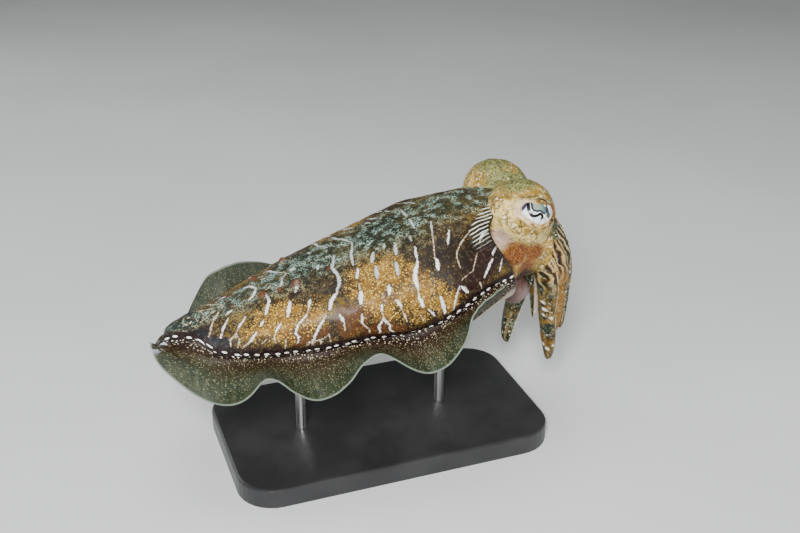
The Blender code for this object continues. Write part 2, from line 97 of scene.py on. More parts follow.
def along(stations, t):
    """The value at t of a smooth curve through (t, value) stations."""
    t = min(max(t, stations[0][0]), stations[-1][0])
    i = 0
    while i < len(stations) - 2 and t > stations[i + 1][0]:
        i += 1

    def slope(k):
        low, high = stations[max(k - 1, 0)], stations[min(k + 1, len(stations) - 1)]
        return (high[1] - low[1]) / (high[0] - low[0])

    (t0, v0), (t1, v1) = stations[i], stations[i + 1]
    h = t1 - t0
    u = (t - t0) / h
    return (
        v0 * (1 + 2 * u) * (1 - u) ** 2
        + slope(i) * h * u * (1 - u) ** 2
        + v1 * u * u * (3 - 2 * u)
        + slope(i + 1) * h * u * u * (u - 1)
    )


def eased(t, start, end):
    """0 before start, 1 after end, smooth between."""
    u = min(max((t - start) / (end - start), 0.0), 1.0)
    return u * u * (3 - 2 * u)


def signed_power(value, power):
    return math.copysign(abs(value) ** power, value)


def in_world(x, y, z):
    """A point of the mantle's own axes in the frame. The tail end turns up a little."""
    lift = TAIL_LIFT * (1 - min(max(x / (TAIL_LIFT_END * MANTLE_LENGTH), 0.0), 1.0)) ** 2
    return TAIL_POINT + Matrix.Rotation(-MANTLE_PITCH, 3, "Y") @ Vector((x, y, z + lift))


def mantle_offset(t, angle, scale=1.0):
    """Across and up from the mantle's axis, at t along it. Angle 0 is its left side, 90 degrees its back."""
    girth = along(MANTLE_GIRTH, t) * scale
    height = MANTLE_BACK * along(MANTLE_BACK_RISE, t) if math.sin(angle) > 0 else MANTLE_BELLY
    power = 2 / MANTLE_FULLNESS
    return (
        girth * MANTLE_HALF_WIDTH * signed_power(math.cos(angle), power),
        girth * height * signed_power(math.sin(angle), power),
    )


def mantle_reach(t, angle):
    """The distance along the axis. The rim stands forward on the back, and makes room for each eye."""
    lobe = max(math.sin(angle), 0.0) ** LOBE_SHARPNESS
    from_side = math.asin(math.sin(angle))
    notch = math.exp(-(((from_side - EYE_NOTCH_ANGLE) / EYE_NOTCH_SPREAD) ** 2))
    return MANTLE_LENGTH * t - (LOBE_REACH * (1 - lobe) + EYE_NOTCH * notch) * eased(t, 0.6, 1.0)


def mantle_surface(t, angle, scale=1.0, forward=0.0):
    across, up = mantle_offset(t, angle, scale)
    return in_world(mantle_reach(t, angle) + forward, across, up)


def fin_root_angle(t):
    """Where round the left flank the fin grows, in the angle of mantle_offset."""
    return math.radians(along(FIN_ROOT_ANGLE, t))


def fin_reach(t, out):
    return FIN_WIDTH * along(FIN_SPAN, t) * out - FIN_SINK * (1 - out)


@functools.lru_cache(maxsize=None)
def fin_point(side, t, out):
    """A point on the fin's upper face: side -1 is the right fin, out 0 its root and 1 its edge."""
    low = fin_root_angle(t)
    root_angle = low if side > 0 else math.pi - low
    across, up = mantle_offset(t, root_angle)
    sweep = FIN_BACKSWEEP * (1 - eased(t, 0.0, FIN_BACKSWEEP_END))
    outward = Vector((-math.sin(sweep), side * math.cos(sweep), 0.0))
    droop = math.radians(along(FIN_DROOP[side], t)) * (0.45 + 0.55 * out)
    reach = fin_reach(t, out)
    local = Vector((mantle_reach(t, root_angle), across, up)) + outward * (reach * math.cos(droop))
    return in_world(local.x, local.y, local.z - reach * math.sin(droop))


@functools.lru_cache(maxsize=None)
def fin_normal(side, t, out):
    step_along, step_out = 0.004, 0.02
    ahead, behind = min(t + step_along, 1.0), max(t - step_along, 0.0)
    lengthwise = fin_point(side, ahead, out) - fin_point(side, behind, out)
    outwards = fin_point(side, t, out + step_out) - fin_point(side, t, out - step_out)
    upward = lengthwise.cross(outwards).normalized()
    return upward if upward.z > 0 else -upward


def fin_skin(side, t, out, level):
    """A point of the fin's skin: level 1 is its upper face, -1 its lower face and 0 its edge."""
    reach = max(fin_reach(t, out), 0.0)
    flare = FILLET * max(1 - reach / FILLET_REACH, 0.0) ** 2 * min(along(MANTLE_GIRTH, t) / 0.35, 1.0)
    thickness = FIN_ROOT_THICKNESS + (FIN_EDGE_THICKNESS - FIN_ROOT_THICKNESS) * out
    upward = fin_normal(side, t, out)
    ripple = noise.noise(Vector((t * MANTLE_LENGTH / FIN_RIPPLE_LENGTH, 9.0 * side, 1.4 * out)))
    point = fin_point(side, t, out) + upward * (FIN_RIPPLE * out * out * ripple)
    if level > 0:
        return point + upward * flare
    if level < 0:
        return point - upward * (thickness + flare)
    outwards = (fin_point(side, t, out) - fin_point(side, t, out - 0.02)).normalized()
    return point - upward * (thickness / 2) + outwards * (FIN_EDGE_ROUND * eased(t, 0.0, 0.05))


def side_angle(t, quarter):
    """The angle round the left side for a column. A quarter runs from the fin to the back or the belly."""
    height = along(MANTLE_GIRTH, t) * MANTLE_BELLY
    fillet = min(FILLET, 0.3 * height)
    low = fin_root_angle(t)
    top = low + fillet / max(height, 1e-5)
    bottom = low - (fillet + FIN_ROOT_THICKNESS * min(1.0, height / 0.02)) / max(height, 1e-5)
    share = (abs(quarter) - 1) / (QUARTER_ROUND - 1)
    if quarter == 0:
        return (top + bottom) / 2
    if quarter > 0:
        return top + (math.pi / 2 - top) * share
    return bottom + (-math.pi / 2 - bottom) * share


def column_place(column):
    """(side, quarter) of a column round the skin: quarter 42 is the middle of the back, -42 of the belly."""
    if abs(column) <= QUARTER_ROUND:
        return 1, column
    return -1, (HALF_ROUND - abs(column)) * (1 if column > 0 else -1)


def ring_share(ring):
    return min(ring / SKIN_RINGS, 1.0) ** RING_CROWDING


def mantle_skin_mesh():
    """The whole skin, with what the markings follow kept on its points as attributes."""
    rings = SKIN_RINGS + MOUTH_RINGS + 1
    bm = bmesh.new()
    ring_layer = bm.verts.layers.int.new("ring")
    column_layer = bm.verts.layers.int.new("column")
    layers = {name: bm.verts.layers.float.new(name) for name in ("lengthwise", "flank", "rim", "out")}
    bmesh.ops.create_uvsphere(bm, u_segments=SKIN_AROUND, v_segments=rings, radius=1.0)
    for vert in bm.verts:
        ring = round(math.acos(-min(max(vert.co.z, -1.0), 1.0)) / math.pi * rings)
        column = round(math.atan2(vert.co.y, vert.co.x) / math.tau * SKIN_AROUND)
        side, quarter = column_place(column)
        t = ring_share(ring)
        low = side_angle(t, quarter)
        angle = low if side > 0 else math.pi - low
        inside = max(ring - SKIN_RINGS, 0) / MOUTH_RINGS * 5
        vert[ring_layer], vert[column_layer] = ring, column
        vert[layers["lengthwise"]] = mantle_reach(t, angle)
        vert[layers["rim"]] = MANTLE_LENGTH * (1 - t) if ring <= SKIN_RINGS else -0.004 * inside
        root = fin_root_angle(t)
        down = 1 + (root - low) / (root + math.pi / 2)
        if low > root:
            down = (math.pi / 2 - low) / (math.pi / 2 - root)
        vert[layers["flank"]] = down
        if ring > SKIN_RINGS + MOUTH_RINGS:
            vert.co = mantle_surface(1.0, 0.0, 0.0, MOUTH_FORWARD[-1][1])
        else:
            vert.co = mantle_surface(t, angle, along(MOUTH_SCALE, inside), along(MOUTH_FORWARD, inside))
    relief(bm, [vert for vert in bm.verts if vert[ring_layer] <= SKIN_RINGS])

    first = math.ceil(SKIN_RINGS * FIN_START ** (1 / RING_CROWDING))
    last = math.floor(SKIN_RINGS * FIN_END ** (1 / RING_CROWDING))
    for side, centre in ((1, 0), (-1, HALF_ROUND)):
        def level(vert):
            return side * ((vert[column_layer] - centre + HALF_ROUND) % SKIN_AROUND - HALF_ROUND)

        strip = [
            face for face in bm.faces
            if all(abs(level(vert)) <= 1 and first <= vert[ring_layer] <= last for vert in face.verts)
        ]
        for row in range(1, FIN_ROWS + 1):
            edges = {edge for face in strip for edge in face.edges}
            made = bmesh.ops.extrude_face_region(bm, geom=strip + list(edges))["geom"]
            strip = [item for item in made if isinstance(item, bmesh.types.BMFace)]
            for vert in {vert for face in strip for vert in face.verts}:
                t = ring_share(vert[ring_layer])
                root = FIN_SINK / (FIN_WIDTH * along(FIN_SPAN, t) + FIN_SINK)
                out = root + (1 - root) * (row / FIN_ROWS) ** ROW_CROWDING
                vert.co = fin_skin(side, t, out, level(vert))
                vert[layers["out"]] = max(fin_reach(t, out), 0.0) / fin_reach(t, 1.0)
    bmesh.ops.recalc_face_normals(bm, faces=bm.faces)
    mark_skin(bm)
    for face in bm.faces:
        face.smooth = True
        face.material_index = 1 if all(vert[layers["out"]] > 0 for vert in face.verts) else 0
    mesh = bpy.data.meshes.new("mantle_and_fins")
    bm.to_mesh(mesh)
    bm.free()
    return mesh


def relief(bm, verts):
    """The soft swell and the pucker of wet skin, as small moves along the normals."""
    bm.normal_update()
    for vert in verts:
        swell = noise.noise(vert.co / SKIN_SWELL_LENGTH) * SKIN_SWELL
        pucker = noise.noise(vert.co / SKIN_PUCKER_LENGTH) * SKIN_PUCKER
        vert.co = vert.co + vert.normal * (swell + pucker)


# The photograph's camera, and its picture in pixels. What is read in the photograph is written in
# those pixels, and cast from here on to the skin or the eye.
CAMERA_AIM = Vector((0.0145, 0.0, 0.108))
CAMERA_AZIMUTH, CAMERA_ELEVATION = math.radians(-20.0), math.radians(26.0)
CAMERA_DISTANCE = 0.640
CAMERA_LENS, CAMERA_SENSOR = 50.0, 36.0
CAMERA_BACK = Vector((
    math.sin(CAMERA_AZIMUTH) * math.cos(CAMERA_ELEVATION),
    -math.cos(CAMERA_AZIMUTH) * math.cos(CAMERA_ELEVATION),
    math.sin(CAMERA_ELEVATION),
))
CAMERA_PLACE = CAMERA_AIM + CAMERA_BACK * CAMERA_DISTANCE
CAMERA_TURN = (-CAMERA_BACK).to_track_quat("-Z", "Y")
PHOTO_WIDTH, PHOTO_HEIGHT = 800, 533


def sight_line(pixel):
    """The way from the camera through a pixel of the photograph."""
    x, y = pixel
    ahead = PHOTO_WIDTH * CAMERA_LENS / CAMERA_SENSOR
    return (CAMERA_TURN @ Vector((x - PHOTO_WIDTH / 2, PHOTO_HEIGHT / 2 - y, -ahead))).normalized()


# The white marks of the right side, read in the photograph: tone, half width and points, in pixels.
BLUISH, CREAM, WHITE = 0.0, 0.5, 1.0
MARKS_IN_PHOTO = (
    (WHITE, 1.0, ((228, 319), (223, 329), (221, 337))), (CREAM, 0.7, ((214, 317), (211, 329), (209, 336))),
    (CREAM, 0.9, ((222, 305), (218, 313), (213, 322))), (CREAM, 0.6, ((214, 311), (205, 319), (201, 322))),
    (WHITE, 1.2, ((231, 311), (227, 314))), (WHITE, 1.3, ((245, 318), (240, 325), (238, 329))),
    (CREAM, 0.8, ((238, 329), (236, 334), (230, 340), (231, 346))),
    (CREAM, 0.9, ((236, 334), (240, 340), (238, 347))), (WHITE, 1.5, ((256, 333), (250, 342))),
    (CREAM, 0.8, ((250, 342), (245, 346), (243, 348))), (WHITE, 1.3, ((256, 288), (253, 296), (249, 300))),
    (CREAM, 0.8, ((195, 315), (196, 319))), (CREAM, 0.8, ((190, 318), (190, 323))),
    (CREAM, 0.7, ((183, 323), (186, 325))), (CREAM, 0.8, ((200, 312), (203, 314))),
    (WHITE, 1.0, ((184, 331), (185, 331))), (WHITE, 2.2, ((269, 301), (266, 313))),
    (BLUISH, 1.3, ((267, 296), (269, 301))), (BLUISH, 1.6, ((282, 279), (281, 285), (277, 291))),
    (CREAM, 0.7, ((285, 272), (282, 279))), (WHITE, 2.2, ((290, 303), (288, 315))),
    (BLUISH, 2.2, ((299, 284), (296, 291))), (WHITE, 2.0, ((310, 301), (309, 306))),
    (CREAM, 0.9, ((309, 306), (307, 315))),
    (WHITE, 1.2, ((307, 315), (304, 318), (297, 326), (296, 334), (299, 337), (298, 342))),
    (WHITE, 1.4, ((325, 317), (318, 329), (313, 341))), (CREAM, 0.8, ((313, 341), (308, 342), (307, 345))),
    (CREAM, 0.9, ((313, 341), (312, 345))), (CREAM, 0.7, ((313, 341), (321, 340), (329, 335), (331, 342))),
    (CREAM, 0.8, ((321, 340), (321, 344))),
    (BLUISH, 2.2, ((334, 257), (332, 268), (337, 274), (340, 282), (337, 290))),
    (WHITE, 2.4, ((336, 294), (331, 301), (330, 308))), (WHITE, 1.6, ((340, 315), (344, 322))),
    (CREAM, 0.8, ((344, 322), (345, 330))), (WHITE, 1.6, ((280, 325), (276, 331))),
    (CREAM, 0.8, ((276, 331), (274, 337), (276, 343))), (WHITE, 1.6, ((263, 321), (261, 325))),
    (CREAM, 0.9, ((266, 340), (263, 343))), (CREAM, 0.7, ((286, 340), (285, 348))),
    (BLUISH, 2.0, ((318, 266), (318, 268))), (BLUISH, 2.4, ((293, 268), (292, 270))),
    (CREAM, 0.9, ((270, 286), (266, 290))), (WHITE, 1.3, ((415, 248), (417, 259))),
    (WHITE, 2.9, ((417, 264), (415, 273), (415, 279), (418, 287))), (CREAM, 1.1, ((418, 287), (419, 297))),
    (WHITE, 2.3, ((419, 297), (423, 306))), (BLUISH, 2.3, ((395, 244), (396, 253))),
    (BLUISH, 2.6, ((396, 264), (398, 273))), (BLUISH, 2.5, ((373, 254), (372, 261))),
    (BLUISH, 2.6, ((376, 268), (377, 277))), (BLUISH, 1.7, ((352, 244), (351, 256), (353, 264))),
    (WHITE, 1.9, ((358, 270), (357, 277))), (CREAM, 1.4, ((359, 284), (360, 290))),
    (WHITE, 3.1, ((361, 293), (361, 302))), (WHITE, 2.8, ((389, 287), (389, 293))),
    (WHITE, 2.3, ((397, 301), (401, 306))), (CREAM, 1.3, ((402, 310), (407, 321))),
    (WHITE, 1.6, ((382, 306), (382, 310))), (CREAM, 1.1, ((383, 313), (384, 319))),
    (WHITE, 1.2, ((384, 319), (379, 326), (380, 332))),
    (WHITE, 1.0, ((384, 319), (390, 325), (390, 330), (394, 332))), (WHITE, 1.5, ((362, 315), (362, 323))),
    (CREAM, 0.9, ((362, 323), (369, 330), (370, 333))), (CREAM, 0.9, ((421, 316), (424, 321))),
    (WHITE, 1.2, ((429, 310), (434, 315))), (BLUISH, 1.8, ((384, 245), (384, 248))),
    (BLUISH, 1.5, ((431, 222), (432, 232))), (CREAM, 0.7, ((432, 232), (435, 258))),
    (WHITE, 2.7, ((437, 260), (438, 268))), (WHITE, 1.5, ((449, 231), (448, 243))),
    (CREAM, 0.9, ((471, 230), (461, 243), (457, 252), (457, 258), (460, 267))),
    (WHITE, 1.3, ((487, 231), (481, 236), (480, 241))), (WHITE, 1.6, ((496, 247), (493, 253))),
    (WHITE, 1.9, ((492, 260), (485, 276))), (WHITE, 1.1, ((502, 260), (500, 270))),
    (WHITE, 2.2, ((441, 298), (445, 312))), (WHITE, 1.2, ((459, 288), (456, 297), (454, 309))),
    (WHITE, 1.5, ((462, 287), (468, 292))), (CREAM, 0.6, ((477, 254), (473, 271), (463, 279))),
    (CREAM, 1.0, ((480, 283), (482, 288))), (BLUISH, 1.8, ((410, 220), (414, 227))),
    (BLUISH, 1.5, ((410, 237), (411, 240))),
)
PIXELS_PER_MM = 1.78
THIN_CREAM = 0.7
MARK_SEARCH = 9.0
# How far the same marks stray on the far side, along in mm and down in shares, and over what length in m.
STRAY_MM, STRAY_LENGTH = 3.0, 0.022
STRAY_SHARE, STRAY_SHARE_LENGTH = 0.04, 0.017
QUARTER_GIRTH = 80.0

# The fields of colour: patches as (mm from the tail, share down the flank, reach along, reach down).
SKIN_ZONES = {
    "gold": (
        (117, 0.62, 19, 0.20), (136, 0.66, 19, 0.20), (150, 0.77, 12, 0.12), (117, 0.41, 20, 0.20),
        (62, 0.50, 24, 0.26),
    ),
    "dark": (
        (86, 0.20, 18, 0.22), (93, 0.30, 10, 0.12), (160, 0.42, 20, 0.24), (147, 0.28, 14, 0.16),
        (178, 0.55, 19, 0.30), (131, 0.05, 16, 0.10),
    ),
    "rust": ((97, 0.68, 13, 0.17), (113, 0.86, 15, 0.10), (72, 0.72, 12, 0.10), (121, 0.56, 5, 0.05)),
    "red_black": ((173, 0.72, 18, 0.18), (160, 0.72, 9, 0.09)),
    "blue_black": ((6, 0.45, 22, 0.80), (22, 0.62, 12, 0.22)),
}
# The line of the large dots, above which lies a dark band: some of its dots, read in the
# photograph, and its two ends as mm from the tail and share down the flank.
DOTS_IN_PHOTO = (
    (194, 336), (212, 347), (226, 351), (249, 353), (282, 352), (316, 348), (362, 339), (404, 336),
    (419, 332), (440, 322), (455, 312), (480, 293),
)
DOT_LINE_TAIL, DOT_LINE_RIM = (0.0, 0.30), (190.0, 0.96)
# The papillae of the back: how far behind the origin and out to each side, height and spread.
PAPILLAE = (
    (0.0506, 0.0149, 0.0030, 0.0028), (0.0689, 0.0099, 0.0028, 0.0026), (0.0600, 0.0122, 0.0014, 0.0018),
    (0.0320, 0.0140, 0.0010, 0.0014), (0.0850, 0.0060, 0.0010, 0.0014),
)


def mark_pieces(on_skin):
    """The straight lengths of all the white marks: (tone, half width, start, end, first and last share)."""
    for tone, half, pixels in MARKS_IN_PHOTO:
        width = half / PIXELS_PER_MM * (THIN_CREAM if tone == CREAM else 1.0)
        points = [on_skin(pixel) for pixel in pixels]
        count = len(points) - 1
        for i, (start, end) in enumerate(zip(points, points[1:])):
            yield tone, width, start, end, i / count, (i + 1) / count


def nearest_mark(pieces, along_mm, share, depth):
    """(side, away, width, tone) to the nearest white mark, in mm, for a place on a skin so deep."""
    best = (20.0, 20.0, 0.5, CREAM)
    for tone, half, (a, b), (c, d), first, last in pieces:
        if min(a, c) - MARK_SEARCH > along_mm or max(a, c) + MARK_SEARCH < along_mm:
            continue
        way = Vector((c - a, (d - b) * depth))
        off = Vector((along_mm - a, (share - b) * depth))
        u = min(max(off.dot(way) / max(way.length_squared, 1e-6), 0.0), 1.0)
        away = (off - way * u).length
        from_middle = abs(2 * (first + (last - first) * u) - 1)
        width = half * (0.5 + 0.5 * (1 - from_middle ** 3))
        if away - width < best[1] - best[2]:
            side = (way.x * off.y - way.y * off.x) / max(way.length, 1e-3)
            best = (side, away, width, tone)
    return best


def mark_skin(bm):
    """Keeps on each point of the skin what its finish follows: colour fields, white marks, rows of dots."""
    lengthwise, flank, out = (bm.verts.layers.float[name] for name in ("lengthwise", "flank", "out"))
    zones = {name: bm.verts.layers.float.new(name) for name in SKIN_ZONES}
    mark = [bm.verts.layers.float.new("mark_" + name) for name in ("side", "away", "width", "tone")]
    skirt = bm.verts.layers.float.new("skirt")
    papilla = bm.verts.layers.float.new("papilla")
    bm.normal_update()
    bm.faces.index_update()
    bm.faces.ensure_lookup_table()
    skin = BVHTree.FromBMesh(bm)

    def on_skin(pixel):
        """Where a pixel of the photograph lies on the skin: mm from the tail, and share down the flank."""
        spot, _, index, _ = skin.ray_cast(CAMERA_PLACE, sight_line(pixel))
        corners = bm.faces[index].verts
        weights = poly_3d_calc([corner.co for corner in corners], spot)
        from_tail, down = (
            sum(weight * corner[layer] for weight, corner in zip(weights, corners))
            for layer in (lengthwise, flank)
        )
        return from_tail * 1000, down

    pieces = list(mark_pieces(on_skin))
    dot_line = (DOT_LINE_TAIL, *sorted(on_skin(pixel) for pixel in DOTS_IN_PHOTO), DOT_LINE_RIM)
    for vert in bm.verts:
        t = min(max(vert[lengthwise] / (MANTLE_LENGTH - LOBE_REACH * 0.7), 0.0), 1.0)
        depth = QUARTER_GIRTH * max(along(MANTLE_GIRTH, t), 0.05)
        along_mm, share = vert[lengthwise] * 1000, vert[flank]
        if vert.co.y > 0:
            loose = min(vert.co.y / 0.010, 1.0)
            along_mm += STRAY_MM * loose * noise.noise(vert.co / STRAY_LENGTH)
            share += STRAY_SHARE * loose * noise.noise(vert.co / STRAY_SHARE_LENGTH + Vector((7.0, 0.0, 0.0)))
        line = along(dot_line, along_mm)
        reach = fin_reach(min(max(vert[lengthwise] / MANTLE_LENGTH, 0.0), 1.0), 1.0) * vert[out]
        vert[skirt] = (share - line) * depth / 1000 if vert[out] <= 0 else (1 - line) * depth / 1000 + reach
        found = (20, 20, 0.5, 0.5)
        if share < 1.02 and vert[out] <= 0:
            found = nearest_mark(pieces, along_mm, share, depth)
        for layer, value in zip(mark, found):
            vert[layer] = value
        strayed = along_mm + 5.0 * noise.noise(vert.co / 0.016) + 2.5 * noise.noise(vert.co / 0.006)
        wandered = share + 0.07 * noise.noise(vert.co / 0.013 + Vector((0.0, 5.0, 0.0)))
        for name, patches in SKIN_ZONES.items():
            vert[zones[name]] = max(
                1 - eased(math.hypot((strayed - x) / wide, (wandered - down) / high), 0.45, 1.35)
                for x, down, wide, high in patches
            )
        for x, y, height, spread in PAPILLAE:
            away = math.hypot(vert.co.x + x, abs(vert.co.y) - y) / spread
            if share < 0.5 and vert.normal.z > 0.3 and away < 3:
                strength = math.exp(-away * away)
                vert[papilla] = max(vert[papilla], strength)
                vert.co = vert.co + Vector((-0.35, 0.0, 1.0)) * (height * strength)


def zone_strength(point, patches):
    strength = 0.0
    for centre, reach in patches:
        away = math.sqrt(
            ((point.x - centre.x) / reach[0]) ** 2
            + ((abs(point.y) - centre.y) / reach[1]) ** 2
            + ((point.z - centre.z) / reach[2]) ** 2
        )
        strength = max(strength, 1 - eased(away, 0.2, 1.4))
    return strength


def mark_zones(bm, zones):
    for name, patches in zones.items():
        layer = bm.verts.layers.float.new(name)
        for vert in bm.verts:
            vert[layer] = zone_strength(vert.co, patches)


class Value:
    """What a node gives out. A sum with it adds a Math node to its tree, so a finish reads as plain sums."""

    def __init__(self, socket):
        self.socket = socket
        self.node = socket.node
        self.tree = socket.id_data

    def __add__(self, other):
        return calc("ADD", self, other)

    def __sub__(self, other):
        return calc("SUBTRACT", self, other)

    def __mul__(self, other):
        return calc("MULTIPLY", self, other)

    def __truediv__(self, other):
        return calc("DIVIDE", self, other)

    def __rtruediv__(self, other):
        return calc("DIVIDE", other, self)


# The steps of a finish: each adds one node to a material or a group, and gives back what the node puts out.
def step(tree, kind, inputs=(), output=0, **settings):
    node = tree.nodes.new("ShaderNode" + kind)
    for name, value in settings.items():
        setattr(node, name, value)
    for key, value in dict(inputs).items():
        if isinstance(value, Value):
            tree.links.new(value.socket, node.inputs[key])
        else:
            node.inputs[key].default_value = value
    return Value(node.outputs[output])


def tree_of(*values):
    return next(value.tree for value in values if isinstance(value, Value))


def calc(operation, a, b=0.0, clamp=False):
    return step(tree_of(a, b), "Math", {0: a, 1: b}, operation=operation, use_clamp=clamp)


def attribute(tree, name):
    return step(tree, "Attribute", output="Fac", attribute_name=name)


def ease(value, low, high, start=0.0, end=1.0):
    inputs = {"Value": value, "From Min": low, "From Max": high, "To Min": start, "To Max": end}
    return step(value.tree, "MapRange", inputs, interpolation_type="SMOOTHSTEP")


def blend(factor, a, b, mode="MIX"):
    a = (*a, 1.0) if isinstance(a, tuple) else a
    b = (*b, 1.0) if isinstance(b, tuple) else b
    return step(factor.tree, "Mix", {0: factor, 6: a, 7: b}, 2, data_type="RGBA", blend_type=mode)


def clouds(where, size, detail=3.0, rough=0.55):
    """Soft noise whose features are about this many metres across, round 0.5."""
    inputs = {"Vector": where, "Scale": 1.0 / size, "Detail": detail, "Roughness": rough}
    return step(where.tree, "TexNoise", inputs, "Fac")


def cells(where, size, feature="F1", spread=1.0):
    """Distances in a pattern of cells about this many metres across."""
    inputs = {"Vector": where, "Scale": 1.0 / size, "Randomness": spread}
    return step(where.tree, "TexVoronoi", inputs, "Distance", feature=feature)


def place(x=0.0, y=0.0, z=0.0):
    return step(tree_of(x, y, z), "CombineXYZ", {0: x, 1: y, 2: z})


def object_place(tree):
    return step(tree, "TexCoord", output="Object")


def feed(node, name, value):
    value.tree.links.new(value.socket, node.inputs[name])


def bump(shader, height, distance):
    inputs = {"Height": height, "Distance": distance, "Strength": 1.0}
    feed(shader, "Normal", step(height.tree, "Bump", inputs, "Normal"))


def fresh_material(name, roughness, slot_inputs=()):
    """A material with a Principled shader. Its constants are set on the shader's own sockets."""
    material = bpy.data.materials.new(name)
    material.use_nodes = True
    shader = material.node_tree.nodes["Principled BSDF"]
    shader.inputs["Roughness"].default_value = roughness
    for key, value in dict(slot_inputs).items():
        shader.inputs[key].default_value = value
    return material, material.node_tree, shader


# The grain that all the skin shares: pigment sacs as fine dark and light points, and the pores between them.
def skin_grain_group():
    tree = bpy.data.node_groups.new("skin_grain", "ShaderNodeTree")
    interface = tree.interface
    interface.new_socket("Colour", in_out="INPUT", socket_type="NodeSocketColor")
    interface.new_socket("Grain Size", in_out="INPUT", socket_type="NodeSocketFloat").default_value = 0.001
    interface.new_socket("Strength", in_out="INPUT", socket_type="NodeSocketFloat").default_value = 0.5
    interface.new_socket("Colour", in_out="OUTPUT", socket_type="NodeSocketColor")
    interface.new_socket("Height", in_out="OUTPUT", socket_type="NodeSocketFloat")
    given = tree.nodes.new("NodeGroupInput")
    base, size, strength = (Value(given.outputs[name]) for name in ("Colour", "Grain Size", "Strength"))
    result = tree.nodes.new("NodeGroupOutput")
    where = step(tree, "VectorMath", {0: object_place(tree)}, operation="SCALE")
    feed(where.node, "Scale", 1.0 / size)
    sacs = step(tree, "TexVoronoi", {"Vector": where, "Scale": 1.0}, "Distance")
    haze = step(tree, "TexNoise", {"Vector": where, "Scale": 0.45, "Detail": 4.0, "Roughness": 0.65}, "Fac")
    dark = ease(sacs + haze * 0.5, 0.95, 0.40)
    dark = dark * strength
    light = ease(haze, 0.52, 0.75) * strength
    colour = blend(dark, base, (0.06, 0.035, 0.02), "MULTIPLY")
    colour = blend(light * 0.35, colour, (0.78, 0.68, 0.42))
    feed(result, "Colour", colour)
    feed(result, "Height", sacs * -0.5 + haze)
    return tree


skin_grain = skin_grain_group()


def grained(colour, size, strength):
    """The colour with the shared grain laid over it, and the grain's height."""
    node = colour.tree.nodes.new("ShaderNodeGroup")
    node.node_tree = skin_grain
    feed(node, "Colour", colour)
    node.inputs["Grain Size"].default_value = size
    node.inputs["Strength"].default_value = strength
    return Value(node.outputs["Colour"]), Value(node.outputs["Height"])


DARK_BROWN = (0.018, 0.009, 0.003)
OLIVE = (0.110, 0.066, 0.010)
OCHRE = (0.220, 0.105, 0.010)
PALE_GOLD = (0.820, 0.560, 0.130)
NEAR_BLACK = (0.006, 0.003, 0.002)
RUST_BROWN = (0.070, 0.022, 0.005)
RED_BLACK = (0.014, 0.003, 0.002)
BLUE_BLACK = (0.004, 0.006, 0.010)
MAROON = (0.008, 0.002, 0.002)
CHALK = (0.950, 0.940, 0.900)
CREAM_LINE = (0.800, 0.660, 0.460)
BLUE_CHALK = (0.640, 0.740, 0.700)
SEA_PALE = (0.400, 0.600, 0.500)
SEA_DARK = (0.012, 0.022, 0.012)
BELLY_PALE = (0.480, 0.420, 0.320)
SKIRT_BROWN = (0.020, 0.009, 0.004)
SKIRT_OLIVE = (0.026, 0.020, 0.008)
SKIRT_GREEN = (0.022, 0.032, 0.016)
THIN_GOLD = (0.240, 0.160, 0.035)
SPECK_GOLD = (0.420, 0.360, 0.160)
FRINGE_WHITE = (0.800, 0.900, 0.840)
PAPILLA_RED = (0.110, 0.032, 0.010)
FRINGE_SPAN = 0.070
FRINGE_SHORTEST = 0.008
FRINGE_GAP = 0.0027
FRINGE_LENGTH = 0.017
GRANULE = 0.00105
WET_SKIN = {"Coat Weight": 0.05, "Coat Roughness": 0.20, "Specular IOR Level": 0.22}

# Crops of dots below the row of large ovals: spacing down and along in m, unevenness, where they start and
# end from the dot line, and their radius as a share of the spacing.
DOT_CROPS = (
    (0.0016, 0.0021, 0.60, 0.0018, 0.0058, 0.38),
    (0.0012, 0.0013, 0.70, 0.0046, 0.0120, 0.38),
    (0.0009, 0.0010, 0.75, 0.0100, 0.0400, 0.38),
)
DOT_TONES = ((0.900, 0.840, 0.700), (0.520, 0.450, 0.290), (0.230, 0.230, 0.125))
OVAL_GAP, OVAL_DEPTH, OVAL_HALF_LENGTH, OVAL_HALF_HEIGHT = 0.0052, 0.0006, 0.00125, 0.00075


def dotted(colour, lengthwise, skirt):
    """The colour with its rows of dots, and the dots' height."""
    number = calc("FLOOR", lengthwise / OVAL_GAP)
    jitter = step(skirt.tree, "TexWhiteNoise", {"W": number}, "Value", noise_dimensions="1D")
    middle = jitter * 0.4 + 0.3
    beside = calc("FRACT", lengthwise / OVAL_GAP) - middle
    beside = beside * (OVAL_GAP / OVAL_HALF_LENGTH)
    down = skirt - OVAL_DEPTH - jitter * 0.0012
    down = down / OVAL_HALF_HEIGHT
    away = beside * beside + down * down
    raised = ease(away, 1.3, 0.7)
    colour = blend(raised, colour, CHALK)
    for (down, beside, spread, low, high, radius), tone in zip(DOT_CROPS, DOT_TONES):
        where = place(lengthwise / beside, skirt / down)
        dot = ease(cells(where, 1.0, "F1", spread), radius, radius * 0.50)
        dot = dot * ease(skirt, low, low + 0.0005)
        dot = dot * ease(skirt, high, high - 0.3 * (high - low))
        colour = blend(dot, colour, tone)
        raised = calc("MAXIMUM", raised, dot)
    return colour, raised


def skirted(colour, skirt, waver):
    """The colour under the dots: a maroon band that turns brown, then olive, then green to the fin's edge."""
    depth = skirt + waver
    colour = blend(ease(depth, -0.0050, -0.0010), colour, MAROON)
    colour = blend(ease(depth, 0.0040, 0.0120), colour, SKIRT_BROWN)
    colour = blend(ease(depth, 0.0100, 0.0200), colour, SKIRT_OLIVE)
    return blend(ease(depth, 0.0170, 0.0300), colour, SKIRT_GREEN)


